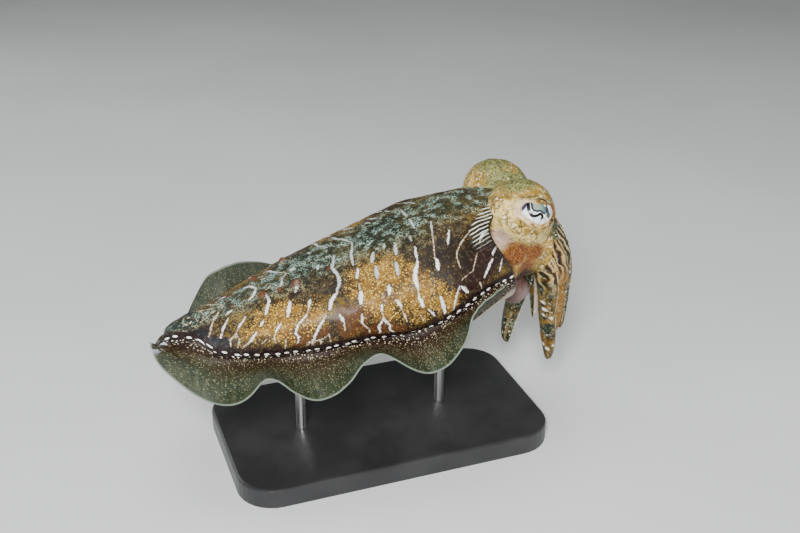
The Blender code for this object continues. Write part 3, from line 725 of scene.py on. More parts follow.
def mantle_material():
    material, tree, shader = fresh_material("mantle_skin", 0.42, WET_SKIN)
    here = object_place(tree)
    names = ("lengthwise", "flank", "rim", "skirt")
    lengthwise, flank, rim, skirt = (attribute(tree, name) for name in names)
    broad = clouds(here, 0.011, 5.0, 0.62)
    fine = clouds(here, 0.0034, 4.0, 0.65)
    finest = clouds(here, 0.0011, 2.0, 0.6)
    loose = (broad - 0.5) * 1.5 + (fine - 0.5) * 1.1

    def field(name, low, high, looseness=1.0):
        return ease(attribute(tree, name) + loose * looseness, low, high)

    # The ground: dark brown and olive, with rust, black and ochre fields.
    colour = blend(ease(loose, -0.10, 0.16), DARK_BROWN, OLIVE)
    gold, dark = field("gold", 0.10, 1.00), field("dark", 0.15, 0.85)
    rust, red = field("rust", 0.30, 0.80), field("red_black", 0.30, 0.80)
    tail = field("blue_black", 0.30, 0.70)
    ochre = gold * calc("SUBTRACT", 1.0, rust, clamp=True)
    ragged = ochre + loose * 0.9
    colour = blend(ease(ragged, 0.35, 1.15), colour, OCHRE)
    mottles = ease(clouds(here, 0.0048, 4.0, 0.7), 0.50, 0.60)
    colour = blend(mottles * 0.55, colour, DARK_BROWN)
    colour = blend(rust * 0.85, colour, RUST_BROWN)
    colour = blend(dark * 0.85, colour, NEAR_BLACK)
    colour = blend(red * 0.90, colour, RED_BLACK)
    colour = blend(tail * 0.95, colour, BLUE_BLACK)

    # Golden granules, packed close in the gold field and thin elsewhere.
    granules = step(tree, "TexVoronoi", {"Vector": here, "Scale": 1.0 / GRANULE}, "Distance")
    own_colour = Value(granules.node.outputs["Color"])
    chance, brightness = (step(tree, "SeparateColor", {0: own_colour}, channel) for channel in (0, 1))
    cover = gold * 0.75 + loose * 0.5
    for quiet, weight in ((dark, 0.40), (rust, 0.30), (red, 0.7), (tail, 0.9)):
        cover = cover - quiet * weight
    cover = cover - mottles * 0.30
    shown = ease(cover + 0.60 - chance, -0.05, 0.25)
    granule = ease(granules, 0.62, 0.22) * shown
    tone = blend(ease(brightness + gold * 0.3, 0.35, 1.10), OCHRE, PALE_GOLD)
    tone = blend(ease(gold, 0.7, 0.0), tone, THIN_GOLD)
    colour = blend(granule * 0.88, colour, tone)

    # The back: sea green between a close net of pale lines and points.
    top = ease(flank + loose * 0.10, 0.28, 0.08)
    colour = blend(top * 0.60, colour, SEA_DARK)
    net = cells(here, 0.0017, "DISTANCE_TO_EDGE")
    points = cells(here, 0.0010)
    crowd = ease(clouds(here, 0.005, 4.0, 0.65), 0.44, 0.64)
    speck = calc("MAXIMUM", ease(net, 0.13, 0.05), ease(points, 0.34, 0.18))
    speck = speck * crowd
    speck = speck * ease(flank + loose * 0.20, 0.44, 0.06)
    speck_tone = blend(ease(flank, 0.05, 0.26), SEA_PALE, SPECK_GOLD)
    colour = blend(speck * 0.85, colour, speck_tone)

    # The white marks, soft at their edges.
    names = ("mark_side", "mark_away", "mark_width", "mark_tone")
    side, away, width, mark_tone = (attribute(tree, name) for name in names)
    frayed = (finest - 0.5) * 2.2 + (fine - 0.5) * 0.9
    edge = calc("ABSOLUTE", side) - width * 0.72 + frayed
    mark = ease(edge, 0.45, -0.45)
    mark = mark * ease(away - width, 1.0, 0.5)
    tone = blend(ease(mark_tone, 0.1, 0.4), BLUE_CHALK, CREAM_LINE)
    tone = blend(ease(mark_tone, 0.6, 0.9), tone, CHALK)
    mark = mark * ease(skirt, 0.0010, -0.0006)
    halo = ease(edge, 1.3, 0.2) * ease(away, 3.0, 1.0, 0.0, 0.5)
    colour = blend(halo, colour, DARK_BROWN)
    colour = blend(mark * ease(mark_tone, 0.0, 0.9, 0.70, 0.95), colour, tone)

    # The fringe of white lines that run back from the rim.
    sway = (clouds(here, 0.014, 2.0) - 0.5) * 1.6
    threads = flank * (FRINGE_SPAN / FRINGE_GAP) + sway
    apart = calc("ABSOLUTE", calc("FRACT", threads) - 0.5)
    own = place(calc("FLOOR", threads) * 5.3)
    reach = step(tree, "TexNoise", {"Vector": own, "Scale": 1.0}, "Fac") * FRINGE_LENGTH
    reach = reach + FRINGE_SHORTEST
    thread = ease(apart + frayed * 0.08, 0.17, 0.08)
    thread = thread * ease(reach - rim, 0.0, 0.004)
    thread = thread * ease(rim, 0.0, 0.0006)
    thread = thread * ease(flank, 0.62, 0.42)
    colour = blend(ease(rim, 0.0050, 0.0010, 0.0, 0.6), colour, NEAR_BLACK)
    colour = blend(thread * 0.85, colour, FRINGE_WHITE)
    colour = blend(ease(attribute(tree, "papilla"), 0.25, 0.6, 0.0, 0.85), colour, PAPILLA_RED)

    # Down to the fin, then under it, and inside the opening.
    waver = loose * 0.0022
    skirt_colour, _ = dotted(skirted(colour, skirt, waver), lengthwise, skirt)
    colour = blend(ease(skirt, -0.0075, -0.0045), colour, skirt_colour)
    colour = blend(ease(flank, 1.10, 1.26), colour, BELLY_PALE)
    # Inside the opening the skin is painted near-black maroon: painted shade in the gap round the head.
    colour = blend(ease(rim, 0.0, -0.004), colour, MAROON)
    colour, height = grained(colour, 0.0008, 0.22)
    feed(shader, "Base Color", colour)
    feed(shader, "Roughness", ease(fine, 0.35, 0.70, 0.46, 0.66))
    raised = height * 0.3 + speck * 0.5
    raised = raised + (mark * 0.5 + granule)
    bump(shader, raised + fine * 1.5, 0.00035)
    return material


FIN_EDGE = (0.260, 0.320, 0.260)
FIN_RAY = (0.160, 0.160, 0.090)
FIN_SHEEN = (0.420, 0.410, 0.480)


def fin_material():
    material, tree, shader = fresh_material("fin_skin", 0.50, {"Specular IOR Level": 0.12})
    here = object_place(tree)
    lengthwise, share, skirt = (attribute(tree, name) for name in ("lengthwise", "out", "skirt"))
    waver = (clouds(here, 0.012, 4.0, 0.6) - 0.5) * 0.0110
    colour = skirted(MAROON, skirt, waver)
    rays = step(
        tree,
        "TexNoise",
        {"Vector": place(lengthwise * 700.0, share * 2.0), "Scale": 1.0, "Detail": 2.0},
        "Fac",
    )
    rayed = ease(rays, 0.45, 0.70, 0.0, 0.20) * ease(share, 0.2, 0.6)
    colour = blend(rayed, colour, FIN_RAY)
    colour, dots = dotted(colour, lengthwise, skirt)
    edge = ease(share, 0.965, 0.990)
    colour = blend(edge * 0.50, colour, FIN_EDGE)
    tail_end = ease(lengthwise, 0.0080, 0.0050)
    sheen = tail_end * ease(clouds(here, 0.004, 3.0), 0.42, 0.58)
    colour = blend(sheen * ease(share, 0.45, 0.8), colour, FIN_SHEEN)
    colour, height = grained(colour, 0.0006, 0.15)
    feed(shader, "Base Color", colour)
    solid = calc("MAXIMUM", ease(skirt + waver, 0.0120, 0.0300, 1.0, 0.80), edge)
    feed(shader, "Alpha", calc("MAXIMUM", solid, dots * 0.9))
    raised = height * 0.3 + dots
    bump(shader, raised + rays * 0.8, 0.00022)
    return material


def dress(obj, materials, replaced):
    """Gives the piece its finish, and says what it stands for in the frame."""
    for material in materials:
        obj.data.materials.append(material)
    bpy.context.scene.collection.objects.link(obj)
    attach(obj, "root")
    if replaced:
        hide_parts(*replaced)
    return obj


mantle_nodes = [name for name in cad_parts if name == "mantle" or name.startswith("fin_")]
mantle = bpy.data.objects.new("mantle_and_fins", mantle_skin_mesh())
dress(mantle, (mantle_material(), fin_material()), mantle_nodes)


# The head and the eight arms: one skin over two eye bulges, cheeks and neck, and over the arms that hang
# from the crown of the head. Rough forms are laid into each other and cast as one fine skin, whose lids are
# then drawn up round each eyeball.

HEAD = Vector((0.081, 0.0, 0.1385))
BULGE_RADIUS, BULGE_SIDE = 0.0205, 0.0165
HEAD_LUMPS = (
    ((0.0, BULGE_SIDE, 0.0), (BULGE_RADIUS, BULGE_RADIUS, BULGE_RADIUS)),
    ((0.0, -BULGE_SIDE, 0.0), (BULGE_RADIUS, BULGE_RADIUS, BULGE_RADIUS)),
    ((0.002, 0.0, -0.017), (0.0260, 0.0310, 0.0290)),
    ((-0.017, 0.0, -0.026), (0.0260, 0.0370, 0.0225)),
    ((0.010, 0.0, -0.016), (0.0185, 0.0215, 0.0225)),
)
CORE_VOXEL, CORE_SOFTENING = 0.0020, 24
SKIN_VOXEL, SKIN_SOFTENING = 0.00078, 3
SPINE = (
    (0.0, 0.004, -0.010), (0.10, 0.0135, -0.0170), (0.26, 0.0240, -0.033), (0.45, 0.0285, -0.052),
    (0.72, 0.0295, -0.078), (1.0, 0.0285, -0.106),
)
RING_OUT = ((0.0, 0.0120), (0.20, 0.0112), (0.45, 0.0084), (0.75, 0.0078), (1.0, 0.0078))
RING_SIDE = ((0.0, 0.0190), (0.20, 0.0195), (0.45, 0.0155), (0.75, 0.0130), (1.0, 0.0125))
ARM_START, ARM_TIP = 0.05, 0.14
ARM_OUTER, ARM_INNER = 0.42, 0.30
KEEL_START, KEEL_END = 0.12, 0.45
ARM_FULLNESS = 2.5
ARM_GAP, ARM_TIP_GAP = -0.0003, 0.0007
ARM_REACH = 0.095
ARM_AROUND, ARM_RINGS = 44, 96
EYEBALL_RADIUS, EYEBALL_OUT = 0.0125, 0.0098
EYE_DIRECTION = Vector((0.22, 1.0, 0.30))
EYE_GAZE = Vector((0.197, 1.0, 0.573))


class Arm:
    """One arm: its place round the spine in degrees from the front, its length and its share of the crown."""

    def __init__(self, side, place, half_angle, length, blunt, keel=0.0, stray=(0.0, 0.0, 0.0), parting=0.25):
        self.side = side
        self.place = math.radians(place)
        self.half_angle = math.radians(half_angle)
        self.length = length
        self.blunt = blunt
        self.keel = keel
        self.stray = Vector(stray)
        self.parting = parting


ARMS = (
    Arm(-1, 16.0, 15.5, 0.77, 0.24),
    Arm(-1, 48.0, 16.0, 0.79, 0.24),
    Arm(-1, 82.5, 18.0, 0.78, 0.24),
    Arm(-1, 130.5, 29.5, 1.00, 0.13, 0.22, (0.0045, 0.0, 0.0), 0.55),
    Arm(1, 19.0, 18.5, 0.75, 0.28),
    Arm(1, 57.0, 18.5, 0.80, 0.28),
    Arm(1, 99.0, 22.5, 0.82, 0.28),
    Arm(1, 149.5, 27.5, 0.98, 0.18, 0.42, (-0.010, 0.009, 0.0)),
)
# How tan and how dark each of these arms is: the darkness is the arm's own tone, and on the four far-side
# left arms it is partly painted shade.
ARM_LOOKS = (
    (0.1, 0.9), (0.1, 0.85), (1.0, 0.25), (0.4, 0.4), (0.0, 1.0), (0.0, 1.0), (0.2, 0.9), (0.1, 0.95),
)


@functools.lru_cache(maxsize=None)
def spine(u):
    ahead, upward = along([(t, x) for t, x, z in SPINE], u), along([(t, z) for t, x, z in SPINE], u)
    return HEAD + Vector((ahead, 0.0, upward))


@functools.lru_cache(maxsize=None)
def spine_outer(u):
    """Out to the front, across the spine."""
    ahead = (spine(min(u + 0.01, 1.0)) - spine(max(u - 0.01, 0.0))).normalized()
    outer = Vector((0.0, 1.0, 0.0)).cross(ahead)
    return outer if outer.x > 0 else -outer


def crown_point(arm, share, place, distance):
    """A point of the crown, at a share of the arm's length, an angle from the front and a distance."""
    u = ARM_START + (arm.length - ARM_START) * share
    ahead = spine_outer(u) * (along(RING_OUT, u) * distance * math.cos(place))
    sideways = arm.side * along(RING_SIDE, u) * distance * math.sin(place)
    return spine(u) + ahead + Vector((0.0, sideways, 0.0)) + arm.stray * eased(u, arm.parting, 1.0)


def arm_taper(arm, share):
    return ARM_TIP + (1 - ARM_TIP) * math.sqrt(max(1 - share ** (1 / arm.blunt), 0.0))


def arm_point(arm, share, angle):
    """A point on the arm's skin. Angle 0 is an edge, 90 the outer face, 270 the face with suckers."""
    power = 2 / ARM_FULLNESS
    taper = arm_taper(arm, share)
    keeled = ARM_OUTER + arm.keel * eased(share, KEEL_START, KEEL_END)
    thickness = keeled if math.sin(angle) > 0 else ARM_INNER
    distance = 1 + thickness * taper * signed_power(math.sin(angle), power)
    ring = along(RING_OUT, ARM_START + (arm.length - ARM_START) * share)
    gap = ARM_GAP + (ARM_TIP_GAP - ARM_GAP) * eased(share, 0.55, 0.95)
    half_angle = arm.half_angle - gap / (ring * distance)
    sideways = half_angle * taper * signed_power(math.cos(angle), power)
    return crown_point(arm, share, arm.place + sideways, distance)


ARM_LAYERS = ("share", "across", "facing", "arm", "tan", "dark_tone_and_shade")


def arms_mesh():
    """The eight arms as fine closed forms, with each point's place on its arm kept for the markings."""
    bm = bmesh.new()
    layers = {name: bm.verts.layers.float.new(name) for name in ARM_LAYERS}
    for number, arm in enumerate(ARMS):
        made = bmesh.ops.create_uvsphere(bm, u_segments=ARM_AROUND, v_segments=ARM_RINGS, radius=1.0)
        for vert in made["verts"]:
            ring = round(math.acos(-min(max(vert.co.z, -1.0), 1.0)) / math.pi * ARM_RINGS)
            angle = math.atan2(vert.co.y, vert.co.x)
            share = min(max(ring - 1, 0) / (ARM_RINGS - 2), 1.0)
            vert[layers["share"]], vert[layers["arm"]] = share, number
            vert[layers["tan"]], vert[layers["dark_tone_and_shade"]] = ARM_LOOKS[number]
            vert[layers["across"]], vert[layers["facing"]] = math.cos(angle), math.sin(angle)
            if ring in (0, ARM_RINGS):
                vert.co = crown_point(arm, share, arm.place, 1.0)
            else:
                vert.co = arm_point(arm, share, angle)
    bmesh.ops.recalc_face_normals(bm, faces=bm.faces)
    return bm


def cast(name, forms, voxel, softening):
    """One closed skin over forms that are laid into each other."""
    mesh = bpy.data.meshes.new(name)
    forms.to_mesh(mesh)
    obj = bpy.data.objects.new(name, mesh)
    bpy.context.scene.collection.objects.link(obj)
    remesh = obj.modifiers.new("one_skin", "REMESH")
    remesh.mode = "VOXEL"
    remesh.voxel_size = voxel
    smooth = obj.modifiers.new("soften", "SMOOTH")
    smooth.factor = 0.5
    smooth.iterations = softening
    graph = bpy.context.evaluated_depsgraph_get()
    made = bpy.data.meshes.new_from_object(obj.evaluated_get(graph))
    bpy.data.objects.remove(obj)
    bpy.data.meshes.remove(mesh)
    return made


def head_core():
    bm = bmesh.new()
    for place, sizes in HEAD_LUMPS:
        made = bmesh.ops.create_uvsphere(bm, u_segments=48, v_segments=32, radius=1.0)
        bmesh.ops.scale(bm, vec=sizes, verts=made["verts"])
        bmesh.ops.translate(bm, vec=HEAD + Vector(place), verts=made["verts"])
    mesh = cast("head_core", bm, CORE_VOXEL, CORE_SOFTENING)
    bm.free()
    return mesh


def eye_axes(side):
    """The middle of the eyeball, the way the eye looks, and the ways to the front and up across it."""
    mirror = Vector((1.0, side, 1.0))
    centre = HEAD + Vector((0.0, side * BULGE_SIDE, 0.0)) + mirror * EYE_DIRECTION.normalized() * EYEBALL_OUT
    outward = mirror * EYE_GAZE.normalized()
    fore = Vector((1.0, 0.0, 0.0))
    fore = (fore - outward * fore.dot(outward)).normalized()
    up = outward.cross(fore)
    return centre, outward, fore, up if up.z > 0 else -up


# The lids' margin: how far from the eye's axis it lies, in degrees, at turns from the front towards the top.
LID_MARGIN = (
    (-180, 55), (-160, 43.5), (-134, 37.5), (-100, 36.5), (-68, 35.5), (-41, 39), (-20, 46), (-5, 51),
    (8, 44), (22, 33), (34, 21.5), (52, 17), (72, 15.5), (96, 16.5), (112, 18), (124, 21.5), (132, 28),
    (138, 39), (144, 49), (152, 53.5), (172, 56.5), (180, 55),
)
LID_REACH = 84.0
LID_FINE_SKIN = 0.021
LID_MOVED_SKIN = 0.022
LID_HEIGHT = 0.0009
LID_BLENDING = 0.0008
LID_ROLL = 9.0
LID_DEPTH = 0.0028
# Folds round the eye: degrees past the margin, width, height, and the turn they are round with its spread.
LID_FOLDS = (
    (10, 6.5, 0.0010, 88, 45), (19, 2.6, -0.0005, 150, 40), (24, 4.0, 0.0004, 140, 50),
    (7, 2.4, -0.0004, 168, 40), (12, 3.0, 0.0004, 168, 45), (6, 2.6, 0.0005, 10, 60),
    (11, 2.2, -0.0004, 0, 60), (7, 3.0, 0.0004, -100, 80),
)
# Coloured skin round the eye: where it starts and ends past the margin, its turn and its spread, in degrees.
LID_BANDS = {"lid_pale": (-20, 13, 172, 62), "lid_green": (2, 19, 88, 62), "lid_ochre": (-20, 8, -8, 55)}


def turned_from(turn, middle):
    return abs((turn - middle + 180) % 360 - 180)


def draw_up_lids(bm):
    """Moves the skin round each eye: a rounded margin on the ball, folds past it, a pocket under it."""
    bands = {name: bm.verts.layers.float.new(name) for name in LID_BANDS}
    for side in (1, -1):
        centre, outward, fore, up = eye_axes(side)
        near = [vert for vert in bm.verts if (vert.co - centre).length < LID_FINE_SKIN]
        edges = {
            edge for vert in near for edge in vert.link_edges
            if (edge.other_vert(vert).co - centre).length < LID_FINE_SKIN
        }
        bmesh.ops.subdivide_edges(bm, edges=list(edges), cuts=1, use_grid_fill=True)
        for vert in [vert for vert in bm.verts if (vert.co - centre).length < LID_MOVED_SKIN]:
            offset = vert.co - centre
            distance = offset.length
            tilt = math.degrees(math.acos(min(max(offset.dot(outward) / distance, -1.0), 1.0)))
            if tilt > LID_REACH:
                continue
            turn = math.degrees(math.atan2(offset.dot(up), offset.dot(fore)))
            past = tilt - along(LID_MARGIN, turn)
            crest = EYEBALL_RADIUS + LID_HEIGHT
            reached = 0.5 * (distance + crest + math.hypot(distance - crest, LID_BLENDING))
            reached = crest + (reached - crest) * eased(past, -2.0, 7.0)
            for fold_place, fold_width, height, middle, spread in LID_FOLDS:
                shape = ((past - fold_place) / fold_width) ** 2 + (turned_from(turn, middle) / spread) ** 4
                reached += height * math.exp(-shape)
            reached += (distance - reached) * eased(tilt, LID_REACH - 16, LID_REACH)
            reached -= LID_DEPTH * eased(-past, -0.25 * LID_ROLL, 0.75 * LID_ROLL)
            vert.co = centre + offset * (reached / distance)
            for name, (start, end, middle, spread) in LID_BANDS.items():
                inside = eased(past, start - 3, start + 3) * (1 - eased(past, end - 3, end + 3))
                reach = eased(turned_from(turn, middle), 0.75 * spread, 1.25 * spread)
                vert[bands[name]] = inside * (1 - reach)


HEAD_ZONES = {
    "cheek": (
        (HEAD + Vector((-0.0080, 0.0330, -0.0180)), (0.0130, 0.0120, 0.0085)),
        (HEAD + Vector((0.0037, 0.0309, -0.0200)), (0.0080, 0.0100, 0.0075)),
        (HEAD + Vector((-0.0020, 0.0290, -0.0290)), (0.0100, 0.0100, 0.0080)),
    ),
    "cheek_low": (
        (HEAD + Vector((-0.0040, 0.0270, -0.0360)), (0.0160, 0.0160, 0.0080)),
        (HEAD + Vector((-0.0170, 0.0320, -0.0280)), (0.0110, 0.0120, 0.0110)),
    ),
    "head_light": (
        (HEAD + Vector((-0.0150, 0.0260, 0.0000)), (0.0110, 0.0150, 0.0160)),
        (HEAD + Vector((0.0040, 0.0340, -0.0090)), (0.0160, 0.0120, 0.0060)),
    ),
    "lilac": (
        (HEAD + Vector((-0.018, 0.029, -0.009)), (0.009, 0.010, 0.008)),
    ),
    "crown_green": (
        (HEAD + Vector((-0.006, 0.017, 0.0235)), (0.026, 0.020, 0.011)),
        (HEAD + Vector((0.014, 0.004, 0.0060)), (0.012, 0.030, 0.014)),
        (HEAD + Vector((-0.004, 0.0, 0.012)), (0.030, 0.012, 0.012)),
    ),
    "front_dark": (
        (HEAD + Vector((0.0250, 0.0200, -0.0120)), (0.0100, 0.0140, 0.0110)),
        (HEAD + Vector((0.0290, 0.0100, -0.0230)), (0.0110, 0.0180, 0.0140)),
        (HEAD + Vector((0.0400, 0.0060, -0.0420)), (0.0080, 0.0150, 0.0220)),
    ),
}


# Small pointed bumps of the skin: place from the head's middle, height and spread.
HEAD_PAPILLAE = (
    ((0.0330, -0.0110, -0.0150), 0.0016, 0.0009), ((0.0380, -0.0100, -0.0260), 0.0018, 0.0009),
    ((0.0410, -0.0080, -0.0400), 0.0016, 0.0009), ((0.0420, -0.0080, -0.0560), 0.0016, 0.0009),
    ((0.0290, -0.0160, -0.0080), 0.0012, 0.0009), ((0.0420, -0.0100, -0.0700), 0.0014, 0.0008),
    ((0.0340, 0.0100, -0.0160), 0.0014, 0.0009), ((0.0410, 0.0100, -0.0360), 0.0016, 0.0009),
    ((0.0060, 0.0060, 0.0060), 0.0012, 0.0011), ((-0.0040, -0.0090, 0.0170), 0.0011, 0.0011),
)


def raise_papillae(bm):
    layer = bm.verts.layers.float.new("papilla")
    bm.normal_update()
    outwards = [(vert, vert.normal.copy(), vert.co.copy()) for vert in bm.verts]
    for place_from, height, spread in HEAD_PAPILLAE:
        top = min(outwards, key=lambda item: (item[2] - HEAD - Vector(place_from)).length_squared)
        for vert, normal, co in outwards:
            away = (co - top[2]).length / spread
            if away < 3:
                strength = math.exp(-away * away)
                vert[layer] = max(vert[layer], strength)
                vert.co = vert.co + (normal * 0.4 + top[1] * 0.6) * (height * strength)


def head_and_arms_mesh():
    core = head_core()
    forms = arms_mesh()
    arms_tree = BVHTree.FromBMesh(forms)
    forms.faces.ensure_lookup_table()
    core_bm = bmesh.new()
    core_bm.from_mesh(core)
    core_tree = BVHTree.FromBMesh(core_bm)
    both = forms.copy()
    both.from_mesh(core)
    skin = cast("head_and_arms", both, SKIN_VOXEL, SKIN_SOFTENING)
    both.free()
    core_bm.free()

    bm = bmesh.new()
    bm.from_mesh(skin)
    draw_up_lids(bm)
    found_layers = [forms.verts.layers.float[name] for name in ARM_LAYERS]
    layers = [bm.verts.layers.float.new(name) for name in ARM_LAYERS]
    on_arm = bm.verts.layers.float.new("on_arm")
    for vert in bm.verts:
        spot, _, index, _ = arms_tree.find_nearest(vert.co)
        corners = forms.faces[index].verts
        weights = poly_3d_calc([corner.co for corner in corners], spot)
        for layer, found in zip(layers, found_layers):
            vert[layer] = sum(weight * corner[found] for weight, corner in zip(weights, corners))
        core_spot, core_normal, _, _ = core_tree.find_nearest(vert.co)
        vert[on_arm] = eased((vert.co - core_spot).dot(core_normal), 0.0002, 0.0045)
    forms.free()
    mark_zones(bm, HEAD_ZONES)
    relief(bm, list(bm.verts))
    raise_papillae(bm)
    bmesh.ops.recalc_face_normals(bm, faces=bm.faces)
    for face in bm.faces:
        face.smooth = True
    bm.to_mesh(skin)
    bm.free()
    return skin


HEAD_CREAM = (0.600, 0.410, 0.110)
HEAD_YELLOW = (0.300, 0.185, 0.028)
HEAD_OLIVE = (0.050, 0.034, 0.006)
HEAD_FLECK = (0.860, 0.760, 0.520)
HEAD_GOLD = (0.780, 0.600, 0.210)
SAC_BROWN = (0.140, 0.090, 0.020)
CROWN_DARK = (0.040, 0.056, 0.014)
CROWN_PALE = (0.220, 0.250, 0.090)
LILAC = (0.380, 0.260, 0.200)
RUST = (0.120, 0.034, 0.006)
RUST_PALE = (0.300, 0.115, 0.024)
CHEEK_MAROON = (0.024, 0.006, 0.003)
LID_PINK = (0.560, 0.400, 0.220)
LID_GREEN = (0.300, 0.310, 0.120)
LID_GREEN_PALE = (0.480, 0.460, 0.240)
LID_TAN = (0.660, 0.500, 0.300)
LID_OCHRE = (0.160, 0.070, 0.014)
FOREST = (0.010, 0.016, 0.007)
FOREST_PALE = (0.300, 0.360, 0.220)
FOREST_BEAD = (0.640, 0.680, 0.480)
ARM_OLIVE = (0.110, 0.066, 0.012)
ARM_OCHRE = (0.210, 0.120, 0.022)
ARM_TAN = (0.270, 0.130, 0.024)
ARM_BLUE = (0.022, 0.024, 0.020)
ARM_CREAM = (0.700, 0.540, 0.260)
ARM_WHITE = (0.940, 0.900, 0.800)
PAPILLA_WHITE = (0.860, 0.860, 0.780)
ARM_DARK = (0.016, 0.008, 0.003)
SUCKER_FACE = (0.560, 0.480, 0.380)


def head_material():
    material, tree, shader = fresh_material("head_and_arm_skin", 0.42, WET_SKIN)
    here = object_place(tree)
    broad = clouds(here, 0.010, 4.0, 0.6)
    fine = clouds(here, 0.0034, 4.0, 0.65)
    finest = clouds(here, 0.0013, 2.0, 0.6)
    loose = (broad - 0.5) * 1.2 + (fine - 0.5) * 1.0

    def field(name, low, high, looseness=1.0):
        return ease(attribute(tree, name) + loose * looseness, low, high)

    # The head: cream and yellow under olive worm-like marks and pale flecks.
    colour = blend(ease(loose, -0.14, 0.16), HEAD_YELLOW, HEAD_CREAM)
    light = field("head_light", 0.15, 0.90) * ease(fine, 0.35, 0.60, 0.40, 0.90)
    colour = blend(light, colour, HEAD_GOLD)
    bent = step(tree, "TexNoise", {"Vector": here, "Scale": 260.0, "Detail": 2.0}, "Color")
    bent = step(tree, "VectorMath", {0: bent, 3: 0.0026}, operation="SCALE")
    bent = step(tree, "VectorMath", {0: here, 1: bent}, operation="ADD")
    worms = cells(bent, 0.0027, "DISTANCE_TO_EDGE")
    worm = ease(worms, 0.17, 0.05) * ease(clouds(here, 0.006), 0.40, 0.58)
    colour = blend(worm * 0.80, colour, HEAD_OLIVE)
    sacs = cells(here, 0.0012)
    colour = blend(ease(sacs, 0.26, 0.12) * ease(fine, 0.52, 0.42), colour, SAC_BROWN)
    flecks = ease(cells(bent, 0.0024), 0.42, 0.24) * ease(fine, 0.42, 0.52)
    colour = blend(flecks * 0.80, colour, HEAD_FLECK)
    colour = blend(field("lilac", 0.25, 0.80, 0.8) * 0.85, colour, LILAC)
    green = field("crown_green", 0.30, 0.80)
    green_tone = blend(ease(finest, 0.42, 0.58), CROWN_DARK, CROWN_PALE)
    colour = blend(green * 0.85, colour, green_tone)
    colour = blend(attribute(tree, "lid_green"), colour, blend(fine, LID_GREEN, LID_GREEN_PALE))
    colour = blend(
        attribute(tree, "lid_pale"), colour, blend(ease(fine, 0.4, 0.6), LID_PINK, LID_TAN)
    )

    # The cheek: rust with bright points, maroon below.
    rust = field("cheek", 0.20, 0.85, 1.0)
    pits = ease(cells(here, 0.0010), 0.20, 0.55)
    rust_tone = blend(pits, RUST_PALE, RUST)
    rust_tone = blend(field("cheek_low", 0.30, 0.75, 0.6), rust_tone, CHEEK_MAROON)
    rust = calc("MAXIMUM", rust, field("cheek_low", 0.35, 0.75, 0.6))
    colour = blend(rust, colour, rust_tone)

    # The front: dark green, closely set with pale beads.
    front = field("front_dark", 0.35, 0.75)
    forest_net = ease(cells(bent, 0.0019, "DISTANCE_TO_EDGE"), 0.14, 0.05) * ease(fine, 0.46, 0.56)
    forest = blend(forest_net * 0.8, FOREST, FOREST_PALE)
    beads = ease(cells(here, 0.0023), 0.30, 0.18) * ease(broad, 0.42, 0.52)
    forest = blend(beads, forest, FOREST_BEAD)
    colour = blend(front, colour, forest)
    colour = blend(attribute(tree, "lid_ochre"), colour, LID_OCHRE)

    # The arms: stripes at the root that wind down into blotches, with pale edges and beads down the middle.
    share, across, facing = (attribute(tree, name) for name in ("share", "across", "facing"))
    tan, dark_tone_and_shade = attribute(tree, "tan"), attribute(tree, "dark_tone_and_shade")
    number = attribute(tree, "arm") * 4.1
    length = share * ARM_REACH
    lane = place(length / 0.0085, across * 1.1, number)
    inputs = {"Vector": lane, "Scale": 1.0, "Detail": 4.0, "Roughness": 0.62, "Distortion": 0.8}
    blotch = step(tree, "TexNoise", inputs, "Fac")
    ground = blend(ease(fine, 0.38, 0.62), ARM_OLIVE, ARM_OCHRE)
    ground = blend(tan * ease(fine, 0.30, 0.60, 0.45, 1.0), ground, ARM_TAN)
    ground = blend(ease(blotch + tan * -0.08, 0.47, 0.56), ground, ARM_BLUE)
    # Dark green blotches, as strong as the arm is dark: on the far-side left arms this is partly painted
    # shade.
    ground = blend(dark_tone_and_shade * ease(blotch, 0.36, 0.50), ground, forest)
    winding = step(
        tree, "TexNoise", {"Vector": place(length / 0.016, number), "Scale": 1.0, "Detail": 1.0}, "Fac"
    )
    strand = across * 1.7 + winding * 2.2
    strand = strand + clouds(here, 0.006, 2.0) * 1.5
    strand = calc("ABSOLUTE", calc("FRACT", strand) - 0.5)
    at_root = ease(share + loose * 0.16, 0.50, 0.26)
    ground = blend(ease(strand, 0.24, 0.38) * at_root, ground, ARM_DARK)
    ground = blend(ease(strand, 0.20, 0.10) * (at_root * 0.6), ground, ARM_CREAM)
    spots = place(length / 0.0056, across * 1.0, number)
    spot = ease(cells(spots, 1.0, "F1", 1.0) + fine * 0.35, 0.46, 0.28)
    spot = spot * ease(calc("ABSOLUTE", across), 0.70, 0.45)
    spot = spot * ease(share, 0.30, 0.42)
    ground = blend(spot * 0.92, ground, ARM_WHITE)
    from_edge = calc("ABSOLUTE", calc("ABSOLUTE", across) - 0.83)
    from_edge = from_edge + (fine - 0.5) * 0.30
    pieces = ease(
        step(tree, "TexNoise", {"Vector": place(length / 0.003, number), "Scale": 1.0}, "Fac"), 0.34, 0.46
    )
    edge_line = ease(from_edge, 0.11, 0.04) * ease(facing, -0.1, 0.3)
    edge_line = edge_line * (pieces * ease(dark_tone_and_shade, 1.3, 0.4))
    ground = blend(edge_line * 0.9, ground, ARM_CREAM)
    ground = blend(ease(facing, -0.30, -0.70), ground, SUCKER_FACE)
    joined = ease(attribute(tree, "on_arm") + loose * 0.5, 0.30, 0.62)
    colour = blend(joined, colour, ground)
    lower_cheek = field("cheek_low", 0.50, 0.95, 0.6) * 0.7
    colour = blend(lower_cheek, colour, CHEEK_MAROON)
    colour = blend(ease(attribute(tree, "papilla"), 0.3, 0.7), colour, PAPILLA_WHITE)

